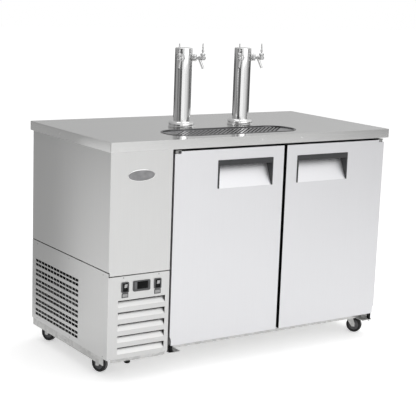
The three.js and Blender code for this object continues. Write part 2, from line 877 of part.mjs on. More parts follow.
function makeColumn(name, group) {
  const inner = tower.radius - tower.wall;
  const top = tower.height;
  const bevel = tower.edgeRadius;
  const profile = [
    [0, top - tower.wall],
    [inner, top - tower.wall],
    [inner, seat],
    [tower.radius, seat],
    [tower.radius, top - bevel],
    [tower.radius - bevel * (1 - Math.SQRT1_2), top - bevel * (1 - Math.SQRT1_2)],
    [tower.radius - bevel, top],
    [0, top],
  ];
  const bores = [-1, 1].map((hand) => {
    const out = tower.radius + overrun;
    const bore = strut([0, 0, tapHeight], [0, -out, tapHeight], tap.shankRadius + tap.boreGap, 12);
    return bore.rotateZ(THREE.MathUtils.degToRad(hand * tap.angle));
  });
  place(`${name}_column`, cut(turned(profile, tower.sides), ...bores), finish.chrome, group);
  const gap = tower.radius + seat;
  const flange = tower.flangeRadius;
  const shoulder = tower.flangeShoulder;
  const ringTop = seat + tower.flangeHeight;
  const arc = [0, 1, 2, 3].map((step) => {
    const turn = (step / 3) * (Math.PI / 2);
    return [
      flange - shoulder + shoulder * Math.cos(turn),
      ringTop - shoulder + shoulder * Math.sin(turn),
    ];
  });
  const bell = [[gap, seat], [flange, seat], ...arc, [gap, ringTop], [gap, seat]];
  place(`${name}_flange`, turned(bell, tower.sides), finish.chrome, group);
}

const lines = {
  radius: 4.8,
  sleeveRadius: 23,
  sleeveTop: 290,
  spread: 9,
  reach: 34,
  nutRadius: 9,
  nutLength: 16,
};

// Two beer lines in one foam sleeve, from the shanks down through the cabinet's ceiling
function makeBeerLines(name, group) {
  const sleeveFoot = shell.top - worktop.height - cabinet.wall + seat;
  const lineFoot = sleeveFoot - lines.reach;
  const turn = THREE.MathUtils.degToRad(tap.angle);
  const pieces = [rod(lines.sleeveRadius, [sleeveFoot, lines.sleeveTop], 16)];
  for (const hand of [-1, 1]) {
    const side = [Math.sin(hand * turn), -Math.cos(hand * turn)];
    const at = (reach, z) => [side[0] * reach, side[1] * reach, z];
    const bend = lines.sleeveTop + (tapHeight - lines.sleeveTop) / 2;
    pieces.push(tube([
      at(lines.spread, lines.sleeveTop - lines.nutLength),
      at(lines.spread, lines.sleeveTop),
      at((lines.spread + tap.shankInner) / 2, bend + lines.radius),
      at(tap.shankInner - lines.radius, tapHeight),
      at(tap.shankInner - seat, tapHeight),
    ], lines.radius, 3, 8));
    pieces.push(rod(lines.radius, [lineFoot, sleeveFoot + overrun], 12).translate(...at(lines.spread, 0)));
    const nutSpot = at(lines.spread, 0);
    pieces.push(rod(lines.nutRadius, [lineFoot - lines.nutLength, lineFoot], 6).translate(...nutSpot));
  }
  place(`${name}_beer_lines`, join(...pieces), finish.foam, group);
}

// A tap in its own frame: the column's axis at the origin, -Y outward
function tapBody() {
  const face = tower.radius + seat;
  const end = face + tap.collarLength;
  const edge = tap.collarEdge;
  const profile = [
    [0, tap.shankInner],
    [tap.shankRadius, tap.shankInner],
    [tap.shankRadius, face],
    [tap.collarRadius - edge, face],
    [tap.collarRadius, face + edge],
    [tap.collarRadius, end - edge],
    [tap.collarRadius - edge, end],
    [tap.neckRadius, end],
    [tap.neckRadius, tap.barrelStart],
    [tap.barrelRadius, tap.barrelStart + edge],
    [tap.barrelRadius, tap.barrelEnd - edge],
    [tap.barrelRadius - edge, tap.barrelEnd],
    [0, tap.barrelEnd],
  ];
  const across = turned(profile, tap.sides).rotateX(Math.PI / 2);
  const bonnet = rod(tap.bonnetRadius, [0, tap.bonnetHeight], tap.sides).translate(0, -tap.bonnetReach, 0);
  const spoutTop = [0, -tap.spoutReach, 0];
  const spoutEnd = [0, -tap.spoutReach - tap.spoutLean, -tap.spoutDrop];
  const boreShare = 1 - tap.spoutBoreDepth / tap.spoutDrop;
  const boreTop = [0, -tap.spoutReach - tap.spoutLean * boreShare, -tap.spoutDrop * boreShare];
  const beyond = 1 + overrun / tap.spoutDrop;
  const boreEnd = [0, -tap.spoutReach - tap.spoutLean * beyond, -tap.spoutDrop * beyond];
  const socket = rod(
    tap.socketRadius,
    [tap.bonnetHeight - tap.socketDepth, tap.bonnetHeight + overrun],
    tap.sides,
  );
  const whole = join(across, bonnet, strut(spoutTop, spoutEnd, tap.spoutRadius, tap.spoutSides));
  return cut(
    whole,
    socket.translate(0, -tap.bonnetReach, 0),
    strut(boreTop, boreEnd, tap.spoutBore, tap.spoutSides),
  );
}

// A lever in its own frame: the centre of its ball at the origin
function tapLever() {
  const height = tap.leverHeight;
  const ball = tap.ballRadius;
  const steps = 6;
  const stemAngle = Math.asin(lever.stem / ball);
  const points = [];
  for (let i = 0; i <= steps; i += 1) {
    const angle = Math.PI - (i / steps) * (Math.PI - stemAngle);
    points.push([Math.max(0, ball * Math.sin(angle)), ball * Math.cos(angle)]);
  }
  points[0][0] = 0;
  return turned([
    ...points,
    [lever.stem, height * lever.ferruleFootShare],
    [lever.ferrule, height * lever.ferruleTopShare],
    [lever.waist, height * lever.waistShare],
    [lever.knob, height * lever.knobShare],
    [lever.waist, height * lever.neckShare],
    [lever.tip, height],
    [0, height],
  ], lever.sides);
}

function makeTower(index) {
  const name = `tower_${index + 1}`;
  const group = groupAt(towerXs[index], towerY, worktop.height);
  makeColumn(name, group);
  makeBeerLines(name, group);
  for (const [side, hand] of [['left', -1], ['right', 1]]) {
    const spot = groupAt(0, 0, tapHeight, THREE.MathUtils.degToRad(hand * tap.angle), group);
    place(`${name}_${side}_tap`, tapBody(), finish.chrome, spot);
    const mesh = place(`${name}_${side}_lever`, tapLever(), finish.chrome, spot);
    mesh.position.set(0, -tap.bonnetReach, tap.bonnetHeight - tap.pivotDepth);
  }
}

// Casters

const caster = {
  wheelRadius: 37,
  wheelWidth: 28,
  hubRadius: 14,
  hubWidth: 31,
  edge: 4,
  axleBore: 5.4,
  axleRadius: 5,
  trail: 27,
  forkSheet: 3,
  forkGap: 0.6,
  crown: 4,
  crownHeight: 79,
  raceRadius: 19,
  plateWidth: 78,
  plateDepth: 66,
  plate: 3,
  sides: 20,
  inset: 63,
  frontInset: 131,
  backInset: 100,
  legHalf: 15,
  crownHalf: 20,
  leftTurn: 20,
  frontRightTurn: 216,
  rearRightTurn: 198,
};
// A facet of the wheel lies flat on the floor, so its centre is a little lower than its radius
const wheelHeight = caster.wheelRadius * Math.cos(Math.PI / caster.sides);

const pedal = { length: 30, width: 34, sheet: 3, height: 80, armDrop: 3 };

function wheelGeometry() {
  const half = caster.wheelWidth / 2;
  const hubHalf = caster.hubWidth / 2;
  const edge = caster.edge;
  const profile = [
    [caster.axleBore, -hubHalf],
    [caster.hubRadius, -hubHalf],
    [caster.hubRadius, -half],
    [caster.wheelRadius - edge, -half],
    [caster.wheelRadius, -half + edge],
    [caster.wheelRadius, half - edge],
    [caster.wheelRadius - edge, half],
    [caster.hubRadius, half],
    [caster.hubRadius, hubHalf],
    [caster.axleBore, hubHalf],
    [caster.axleBore, -hubHalf],
  ];
  const facetDown = Math.PI / caster.sides;
  return turned(profile, caster.sides).rotateZ(facetDown).rotateY(Math.PI / 2);
}

// The fork in the swivel's frame: the swivel axis at the origin, the wheel behind it at +Y
function forkGeometry() {
  const inner = caster.hubWidth / 2 + caster.forkGap;
  const outer = inner + caster.forkSheet;
  const axleZ = wheelHeight;
  const crownZ = [caster.crownHeight, caster.crownHeight + caster.crown];
  const raceTop = baseUnder - caster.plate - 2 * seat;
  const legs = [-1, 1].map((hand) => {
    const x = hand > 0 ? [inner, outer] : [-outer, -inner];
    return wedge([
      [caster.trail - caster.legHalf / 2, axleZ - caster.legHalf / 2],
      [caster.trail + caster.legHalf / 2, axleZ - caster.legHalf / 2],
      [caster.trail + caster.legHalf / 2, axleZ + caster.legHalf / 2],
      [caster.crownHalf, crownZ[1]],
      [-caster.crownHalf, crownZ[1]],
    ], x);
  });
  return join(
    ...legs,
    block([-outer, outer], [-caster.crownHalf, caster.crownHalf], crownZ),
    rod(caster.raceRadius, [crownZ[0], raceTop], 20),
    strut([-outer - seat, caster.trail, axleZ], [outer + seat, caster.trail, axleZ], caster.axleRadius, 12),
  );
}

function pedalGeometry() {
  const half = pedal.width / 2;
  const outer = caster.hubWidth / 2 + caster.forkGap + caster.forkSheet;
  const arm = outer + seat * 2;
  const reach = -caster.crownHalf;
  const tip = reach - pedal.length;
  return join(
    block([-half, half], [tip, reach - seat], [0, pedal.sheet]),
    block([arm, arm + pedal.sheet], [reach - pedal.sheet * 2, 0], [-pedal.armDrop, pedal.sheet]),
    block([-arm - pedal.sheet, -arm], [reach - pedal.sheet * 2, 0], [-pedal.armDrop, pedal.sheet]),
    block(
      [-arm - pedal.sheet, arm + pedal.sheet],
      [reach - pedal.sheet * 2, reach - seat * 2],
      [0, pedal.sheet],
    ),
  );
}

function makeCaster(name, x, y, turn, braked) {
  const swivel = groupAt(x, y, 0, turn);
  const plateZ = [baseUnder - seat - caster.plate, baseUnder - seat];
  const mounting = block(
    [x - caster.plateDepth / 2, x + caster.plateDepth / 2],
    [y - caster.plateWidth / 2, y + caster.plateWidth / 2],
    plateZ,
  );
  place(`${name}_caster_plate`, mounting, finish.galvanised);
  place(`${name}_caster_fork`, forkGeometry(), finish.galvanised, swivel);
  const wheel = place(`${name}_caster_wheel`, wheelGeometry(), finish.blackRubber, swivel);
  wheel.position.set(0, caster.trail, wheelHeight);
  if (!braked) return;
  const foot = place(`${name}_brake_pedal`, pedalGeometry(), finish.darkPlastic, swivel);
  foot.position.set(0, 0, pedal.height - pedal.sheet);
}

function makeCasters() {
  const right = worktop.width / 2 - caster.inset;
  const front = -worktop.depth / 2 + caster.frontInset;
  const back = worktop.depth / 2 - caster.backInset - casing.backInset;
  const leftTurn = THREE.MathUtils.degToRad(caster.leftTurn);
  makeCaster('front_left', -right, front, leftTurn, true);
  makeCaster('front_right', right, front, THREE.MathUtils.degToRad(caster.frontRightTurn), true);
  makeCaster('rear_left', -right, back, leftTurn, false);
  makeCaster('rear_right', right, back, THREE.MathUtils.degToRad(caster.rearRightTurn), false);
}

// Refrigeration: compressor, condenser with its fan, evaporator with its fan and suction line

const compressor = {
  sideInset: 146, // from the casing's left side to the middle
  backInset: 235, // from the casing's back to the middle
  radius: 78,
  height: 170,
  dome: 26,
  lift: 22,
  footSpread: 62,
  footRadius: 9,
  plate: 3,
  plateHalf: 78,
  boxWidth: 46,
  boxHeight: 70,
  boxDepth: 36,
  stubX: 40,
  stubRadius: 7,
  stubHeight: 22,
};
const compressorX = casingLeft + compressor.sideInset;
const compressorY = casingBack - compressor.backInset;

function makeCompressor() {
  const floor = casing.bottom + seat;
  const foot = floor + compressor.lift;
  const top = foot + compressor.plate + compressor.height;
  const dome = compressor.dome;
  const { radius } = compressor;
  const low = foot + compressor.plate - seat;
  const can = turned([
    [0, low],
    [radius - dome, low],
    [radius, low + dome],
    [radius, top - dome],
    [radius - dome / 3, top - dome / 3],
    [radius - dome, top],
    [0, top],
  ], 20);
  const half = compressor.plateHalf;
  const feet = [[-1, -1], [1, -1], [1, 1], [-1, 1]].map(([i, j]) => {
    const spread = compressor.footSpread;
    return rod(compressor.footRadius, [floor, foot + seat], 10).translate(i * spread, j * spread, 0);
  });
  const boxZ = [foot + dome * 2, foot + dome * 2 + compressor.boxHeight];
  const stub = rod(compressor.stubRadius, [top - dome, top + compressor.stubHeight], 12);
  const whole = join(
    can,
    block([-half, half], [-half, half], [foot, foot + compressor.plate]),
    ...feet,
    block([-compressor.boxWidth / 2, compressor.boxWidth / 2], [0, radius + compressor.boxDepth], boxZ),
    stub.translate(compressor.stubX, 0, 0),
  );
  place('compressor', whole.translate(compressorX, compressorY, 0), finish.blackPaint);
}

const condenser = {
  left: 26,
  width: 236,
  front: 34,
  depth: 46,
  height: 262,
  fins: 10,
  finGap: 3,
  shroudDepth: 34,
  shroudWall: 3,
  fanRadius: 98,
  motorRadius: 28,
  motorLength: 44,
  motorGap: 14,
  armWidth: 16,
};
const condenserX = [casingLeft + condenser.left, casingLeft + condenser.left + condenser.width];
const condenserY = [casingFront + condenser.front, casingFront + condenser.front + condenser.depth];
const condenserZ = [casing.bottom + seat, casing.bottom + seat + condenser.height];
const condenserMiddle = [(condenserX[0] + condenserX[1]) / 2, (condenserZ[0] + condenserZ[1]) / 2];
const fan = {
  blades: 5,
  hubRadius: 26,
  hubDepth: 20,
  bladeDepth: 14,
  bladeSheet: 1.6,
  gap: 4,
  pitch: 35,
  bore: 4,
};

function makeCondenser() {
  const core = block(condenserX, condenserY, condenserZ);
  const grooves = [];
  const pitch = condenser.height / (condenser.fins + 1);
  for (let i = 1; i <= condenser.fins; i += 1) {
    const z = condenserZ[0] + i * pitch;
    grooves.push(block(
      [condenserX[0] + pitch / 2, condenserX[1] - pitch / 2],
      [condenserY[0] - overrun, condenserY[0] + condenser.depth / 4],
      [z - condenser.finGap / 2, z + condenser.finGap / 2],
    ));
  }
  const shroudY = [condenserY[1], condenserY[1] + condenser.shroudDepth];
  const [middleX, middleZ] = condenserMiddle;
  const hole = strut(
    [middleX, shroudY[0], middleZ],
    [middleX, shroudY[1] + overrun, middleZ],
    condenser.fanRadius + fan.gap,
    32,
  );
  const motorFront = shroudY[1] + condenser.motorGap;
  const motor = strut(
    [middleX, motorFront, middleZ],
    [middleX, motorFront + condenser.motorLength, middleZ],
    condenser.motorRadius,
    16,
  );
  const arm = block(
    [condenserX[0], condenserX[1]],
    [motorFront, motorFront + condenser.shroudWall],
    [middleZ - condenser.armWidth / 2, middleZ + condenser.armWidth / 2],
  );
  const posts = [
    [condenserX[0], condenserX[0] + condenser.shroudWall],
    [condenserX[1] - condenser.shroudWall, condenserX[1]],
  ].map((x) => block(
    x,
    [shroudY[1] - condenser.shroudWall, motorFront + condenser.shroudWall],
    [middleZ - condenser.armWidth / 2, middleZ + condenser.armWidth / 2],
  ));
  const shaft = strut(
    [middleX, shroudY[0] + condenser.shroudDepth / 2, middleZ],
    [middleX, motorFront + condenser.shroudWall, middleZ],
    fan.bore - seat,
    10,
  );
  const shroud = cut(block(condenserX, shroudY, condenserZ), hole);
  place('condenser', join(cut(core, ...grooves), shroud, arm, ...posts, motor, shaft), finish.fins);
}

// A fan about the Z axis, centred on its hub
function fanGeometry(radius) {
  const half = fan.hubDepth / 2;
  const pieces = [ring(fan.bore, fan.hubRadius, [-half, half], 20)];
  for (let i = 0; i < fan.blades; i += 1) {
    const blade = block(
      [(fan.bore + fan.hubRadius) / 2, radius],
      [-fan.bladeDepth, fan.bladeDepth],
      [-fan.bladeSheet / 2, fan.bladeSheet / 2],
    );
    const tilted = blade.rotateX(THREE.MathUtils.degToRad(fan.pitch));
    pieces.push(tilted.rotateZ((i / fan.blades) * Math.PI * 2));
  }
  return join(...pieces);
}

function makeCondenserFan() {
  const spot = groupAt(condenserMiddle[0], condenserY[1] + condenser.shroudDepth / 2, condenserMiddle[1]);
  const blades = fanGeometry(condenser.fanRadius).rotateX(Math.PI / 2);
  place('condenser_fan', blades, finish.blackPlastic, spot);
}

const evaporator = {
  backGap: 49,
  length: 300,
  top: 12,
  height: 240,
  depth: 112,
  sheet: 1.6,
  coilDepth: 34,
  coilInset: 10,
  fanRadius: 72,
  fanZ: 110,
  motorRadius: 20,
  lineRadius: 6,
};
const evaporatorX = [
  chamber.left + 2 * seat + cabinet.linerSheet,
  chamber.left + 2 * seat + cabinet.linerSheet + evaporator.depth,
];
const evaporatorTop = chamber.top - evaporator.top;
const evaporatorBack = chamber.back - evaporator.backGap;
const evaporatorY = [evaporatorBack - evaporator.length, evaporatorBack];
const evaporatorFanY = (evaporatorY[0] + evaporatorY[1]) / 2;
const evaporatorFanZ = evaporatorTop - evaporator.fanZ;

function makeEvaporator() {
  const y = evaporatorY;
  const z = [evaporatorTop - evaporator.height, evaporatorTop];
  const skin = evaporator.sheet;
  const housing = cut(
    block(evaporatorX, y, z),
    block(
      [evaporatorX[0] + skin, evaporatorX[1] - skin],
      [y[0] + skin, y[1] - skin],
      [z[0] - overrun, z[1] - skin],
    ),
    strut(
      [evaporatorX[1] - overrun, evaporatorFanY, evaporatorFanZ],
      [evaporatorX[1] + overrun, evaporatorFanY, evaporatorFanZ],
      evaporator.fanRadius + fan.gap,
      28,
    ),
  );
  const inset = evaporator.coilInset;
  const coilX = [evaporatorX[0], evaporatorX[0] + evaporator.coilDepth];
  const coil = block(coilX, [y[0] + inset, y[1] - inset], [z[0] + inset, z[1] - inset]);
  const motorEnd = evaporatorX[1] - fan.hubDepth - fan.gap;
  const motor = strut(
    [coilX[0], evaporatorFanY, evaporatorFanZ],
    [motorEnd, evaporatorFanY, evaporatorFanZ],
    evaporator.motorRadius,
    14,
  );
  const shaft = strut(
    [coilX[0], evaporatorFanY, evaporatorFanZ],
    [evaporatorX[1] - fan.hubDepth / 2, evaporatorFanY, evaporatorFanZ],
    fan.bore - seat,
    10,
  );
  const compressorTop = casing.bottom + seat + compressor.lift + compressor.plate + compressor.height;
  const stubTop = compressorTop + compressor.stubHeight + seat;
  const stubX = compressorX + compressor.stubX;
  const bend = compressor.radius;
  const line = tube([
    [evaporatorX[0] + skin, serviceY, serviceZ],
    [shell.left - evaporator.lineRadius, serviceY, serviceZ],
    [stubX + bend / 2, (serviceY + compressorY) / 2, serviceZ - bend / 4],
    [stubX, compressorY, serviceZ - bend],
    [stubX, compressorY, stubTop + bend],
    [stubX, compressorY, stubTop],
  ], evaporator.lineRadius, 3, 20);
  place('evaporator', join(housing, coil, motor, shaft, line), finish.fins);
}

function makeEvaporatorFan() {
  const spot = groupAt(evaporatorX[1] - fan.hubDepth / 2 - seat, evaporatorFanY, evaporatorFanZ);
  const blades = fanGeometry(evaporator.fanRadius).rotateY(Math.PI / 2);
  place('evaporator_fan', blades, finish.blackPlastic, spot);
}

makeBaseFrame();
makeWorktop();
makeDripTray();
makeDripGrille();
makeCabinet();
makeLiner();
makeMullion();
makeUpperPanel();
makeLowerCover();
makeBackPanel();
makeBadge();
makeSwitch('left', bayAcross(controls.firstSwitchX));
makeSwitch('right', bayAcross(controls.secondSwitchX));
makeController();
makeDoor('left');
makeDoor('right');
makeTower(0);
makeTower(1);
makeCasters();
makeCompressor();
makeCondenser();
makeCondenserFan();
makeEvaporator();
makeEvaporatorFan();

export default kegerator;
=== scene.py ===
import json
import math

import bmesh
import bpy
from bpy.props import FloatProperty, FloatVectorProperty, IntProperty, PointerProperty
from mathutils import Matrix, Vector


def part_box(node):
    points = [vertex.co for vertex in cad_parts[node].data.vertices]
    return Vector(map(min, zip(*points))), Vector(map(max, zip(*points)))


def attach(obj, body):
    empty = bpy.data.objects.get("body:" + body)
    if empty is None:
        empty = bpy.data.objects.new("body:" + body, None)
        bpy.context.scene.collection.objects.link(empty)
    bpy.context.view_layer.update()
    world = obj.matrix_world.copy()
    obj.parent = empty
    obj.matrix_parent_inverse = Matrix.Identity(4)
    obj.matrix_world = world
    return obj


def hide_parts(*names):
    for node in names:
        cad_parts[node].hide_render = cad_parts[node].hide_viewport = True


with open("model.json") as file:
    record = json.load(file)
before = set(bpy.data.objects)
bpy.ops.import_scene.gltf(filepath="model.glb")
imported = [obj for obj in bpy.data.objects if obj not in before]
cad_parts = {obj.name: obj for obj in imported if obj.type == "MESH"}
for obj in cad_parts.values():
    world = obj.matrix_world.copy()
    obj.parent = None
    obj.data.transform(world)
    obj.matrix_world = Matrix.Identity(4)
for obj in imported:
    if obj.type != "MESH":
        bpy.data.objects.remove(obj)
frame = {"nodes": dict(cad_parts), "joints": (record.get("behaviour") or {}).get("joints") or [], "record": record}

bl_info = {
    "name": "Kegerator dressing",
    "version": (1, 0, 0),
    "blender": (4, 5, 0),
    "location": "3D View > Sidebar > Kegerator",
    "description": "Builds the visible surfaces of a two-door beer dispenser round its solid model",
    "category": "Object",
}

NODES = frame["nodes"]
JOINTS = {joint["name"]: joint for joint in frame["joints"]}
BODY_OF = {
    node: body
    for body, members in frame["record"]["behaviour"]["bodies"].items()
    for node in members
}
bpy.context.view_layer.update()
CABINET = "cabinet"
SIDES = ("left", "right")
MM = 0.001
RIGHT, UP = Vector((1, 0, 0)), Vector((0, 0, 1))


# Colours are written as they look, and the shaders take them linear

def linear(shade):
    """A colour channel as it looks (sRGB), turned into light."""
    return shade / 12.92 if shade <= 0.04045 else ((shade + 0.055) / 1.055) ** 2.4


def light_of(colour):
    return tuple(linear(channel) for channel in colour[:3]) + (1.0,)


def mixed(colour, factor):
    """A colour made lighter or darker by a factor."""
    return tuple(min(1.0, channel * factor) for channel in colour)


class Signal:
    """The output of a shader node, which adds Math nodes when it is used in an expression."""

    def __init__(self, graph, socket):
        self.graph = graph
        self.socket = socket

    def _math(self, operation, first, second=None):
        values = {0: first} if second is None else {0: first, 1: second}
        return self.graph.node("ShaderNodeMath", {"operation": operation}, values)

    def __add__(self, other):
        return self._math("ADD", self, other)

    def __radd__(self, other):
        return self._math("ADD", other, self)

    def __sub__(self, other):
        return self._math("SUBTRACT", self, other)

    def __rsub__(self, other):
        return self._math("SUBTRACT", other, self)

    def __mul__(self, other):
        return self._math("MULTIPLY", self, other)

    def __rmul__(self, other):
        return self._math("MULTIPLY", other, self)

    def __gt__(self, other):
        return self._math("GREATER_THAN", self, other)

    def __lt__(self, other):
        return self._math("LESS_THAN", self, other)

    def wave(self):
        return self._math("SINE", self)

    def at_least(self, other):
        return self._math("MAXIMUM", self, other)


class Graph:
    """The node tree of a material or of the world while it is built."""

    def __init__(self, owner, output):
        owner.use_nodes = True
        self.tree = owner.node_tree
        self.tree.nodes.clear()
        self.surface = self.tree.nodes.new(output).inputs["Surface"]

    def feed(self, socket, value):
        if isinstance(value, Signal):
            self.tree.links.new(value.socket, socket)
        else:
            socket.default_value = value

    def node(self, kind, settings=None, sockets=None, output=0):
        """Adds a node: its settings first, then the values or links of its sockets."""
        made = self.tree.nodes.new(kind)
        for name, value in (settings or {}).items():
            setattr(made, name, value)
        for name, value in (sockets or {}).items():
            self.feed(made.inputs[name], value)
        return Signal(self, made.outputs[output])


class Look(Graph):
    """A material while it is built: its node tree and its one shader."""

    def __init__(self, name, colour, roughness, metallic=0.0, coat=0.0):
        self.material = bpy.data.materials.new(name)
        super().__init__(self.material, "ShaderNodeOutputMaterial")
        self.shader = self.tree.nodes.new("ShaderNodeBsdfPrincipled")
        self.tree.links.new(self.shader.outputs[0], self.surface)
        self.set("Base Color", light_of(colour))
        self.set("Roughness", roughness)
        self.set("Metallic", metallic)
        self.set("Coat Weight", coat)
        self.material.diffuse_color = light_of(colour)
        self.place = self.node("ShaderNodeTexCoord", output="Object")

    def set(self, name, value):
        """Gives one of the shader's sockets a value or a link."""
        self.feed(self.shader.inputs[name], value)

    def stretched(self, scale):
        """Object coordinates in metres, scaled along each axis."""
        sockets = {"Vector": self.place, "Scale": scale}
        return self.node("ShaderNodeMapping", {"vector_type": "POINT"}, sockets)

    def noise(self, scale, stretch=(1, 1, 1), detail=3.0):
        sockets = {"Vector": self.stretched(stretch), "Scale": scale, "Detail": detail}
        return self.node("ShaderNodeTexNoise", None, sockets)

    def cells(self, scale, feature="F1", output=0):
        sockets = {"Vector": self.place, "Scale": scale}
        return self.node("ShaderNodeTexVoronoi", {"feature": feature}, sockets, output)

    def axis(self, index):
        return self.node("ShaderNodeSeparateXYZ", None, {"Vector": self.place}, index)

    def blend(self, factor, low, high):
        """A colour between two colours."""
        sockets = {0: factor, 6: light_of(low), 7: light_of(high)}
        return self.node("ShaderNodeMix", {"data_type": "RGBA"}, sockets, 2)

    def tint(self, colour, factor, spread):
        """Gives the surface its colour, a little darker and lighter by a factor from 0 to 1."""
        darker, lighter = mixed(colour, 1 - spread), mixed(colour, 1 + spread)
        self.set("Base Color", self.blend(factor, darker, lighter))

    def bump(self, height, depth):
        """A relief of a depth in metres."""
        sockets = {"Height": height, "Distance": depth, "Strength": 1.0}
        self.set("Normal", self.node("ShaderNodeBump", None, sockets))


# The finishes of the object

GRAIN_X = (0.6, 60, 60)
GRAIN_Y = (60, 0.6, 60)
GRAIN_Z = (60, 60, 0.6)


def brushed_steel(name, colour, roughness, grain, spread=0.02, relief=0.6, smears=0.05):
    """Steel with the fine parallel scratches of a brushed sheet and a few broad smears."""
    look = Look(name, colour, roughness, metallic=1.0)
    scratches = look.noise(9, grain, 2.0)
    smear = look.noise(2.2, tuple(min(1.5, 2 / part) for part in grain), 2.0)
    look.tint(colour, scratches, spread)
    look.set("Roughness", roughness - smears / 2 + smear * smears + (scratches - 0.5) * 0.06)
    look.bump(scratches, relief * 0.01 * MM)
    return look.material


def zinc_steel(name, colour):
    """Galvanised sheet with its faint crystal spangle."""
    look = Look(name, colour, 0.42, metallic=1.0)
    spangle = look.cells(55, output="Color")
    shade = look.node("ShaderNodeSeparateColor", None, {0: spangle})
    look.tint(colour, shade, 0.06)
    look.set("Roughness", 0.36 + shade * 0.12)
    look.bump(look.noise(160), 0.02 * MM)
    return look.material


def polished(name, colour, roughness):
    """Chromed brass or polished tube: smooth, with faint wiping marks."""
    look = Look(name, colour, roughness, metallic=1.0)
    wiped = look.noise(7, (18, 18, 0.8), 3.0)
    look.tint(colour, wiped, 0.015)
    look.set("Roughness", roughness * 0.8 + wiped * roughness * 0.4)
    look.bump(look.noise(3, (6, 6, 0.5)), 0.02 * MM)
    return look.material


def moulded(name, colour, roughness, grain=900, depth=0.03, shine=0.5):
    """Moulded plastic with a fine spark-eroded grain."""
    look = Look(name, colour, roughness)
    look.set("Specular IOR Level", shine)
    grit = look.noise(grain, detail=2.0)
    look.tint(colour, look.noise(25), 0.10)
    look.set("Roughness", roughness - 0.05 + grit * 0.1)
    look.bump(grit, depth * MM)
    return look.material


def rubbery(name, colour, roughness=0.75):
    """Rubber with a dusty bloom."""
    look = Look(name, colour, roughness)
    dust = look.noise(38, detail=5.0)
    look.tint(colour, dust, 0.22)
    look.set("Roughness", roughness - 0.1 + dust * 0.2)
    look.bump(look.noise(420, detail=4.0), 0.05 * MM)
    return look.material


def cellular(name, colour):
    """Closed-cell foam sleeve."""
    look = Look(name, colour, 0.9)
    pores = look.cells(380)
    look.tint(colour, look.noise(60), 0.2)
    look.bump(pores, 0.25 * MM)
    return look.material


def stucco(name, colour):
    """Embossed aluminium sheet, as in a cabinet's lining."""
    look = Look(name, colour, 0.38, metallic=0.9)
    pebbles = look.cells(150, "SMOOTH_F1")
    look.tint(colour, look.noise(12), 0.04)
    look.bump(pebbles, 0.5 * MM)
    return look.material


def enamelled(name, colour):
    """Sprayed black enamel with a slight orange peel."""
    look = Look(name, colour, 0.4, coat=0.3)
    peel = look.noise(240)
    look.tint(colour, look.noise(18), 0.15)
    look.set("Roughness", 0.33 + peel * 0.14)
    look.bump(peel, 0.06 * MM)
    return look.material


def finned(name, colour, pitch):
    """A stack of thin aluminium fins, seen edge on, with the gaps between them painted darker as shade."""
    look = Look(name, colour, 0.45, metallic=0.9)
    ripple = (look.axis(0) * (2 * math.pi / pitch)).wave() * 0.5 + 0.5
    shade_gap = ripple < 0.45
    look.set("Base Color", look.blend(shade_gap, colour, mixed(colour, 0.35)))
    look.bump(ripple, 0.8 * MM)
    return look.material


def tyre_tread(name, colour, stripe):
    """Tyre rubber, scuffed pale where it has rolled on the floor."""
    look = Look(name, colour, 0.7)
    dust = look.noise(55, detail=5.0)
    look.set("Base Color", look.blend(dust * 0.35, colour, stripe))
    look.bump(dust, 0.12 * MM)
    return look.material


def dark_glass(name, colour):
    """Smooth dark glass or enamel, as on the display's window and the badge."""
    look = Look(name, colour, 0.08)
    look.set("Specular IOR Level", 0.12)
    haze = look.noise(40)
    look.tint(colour, haze, 0.2)
    look.set("Roughness", 0.05 + haze * 0.08)
    return look.material


MATERIALS = {}


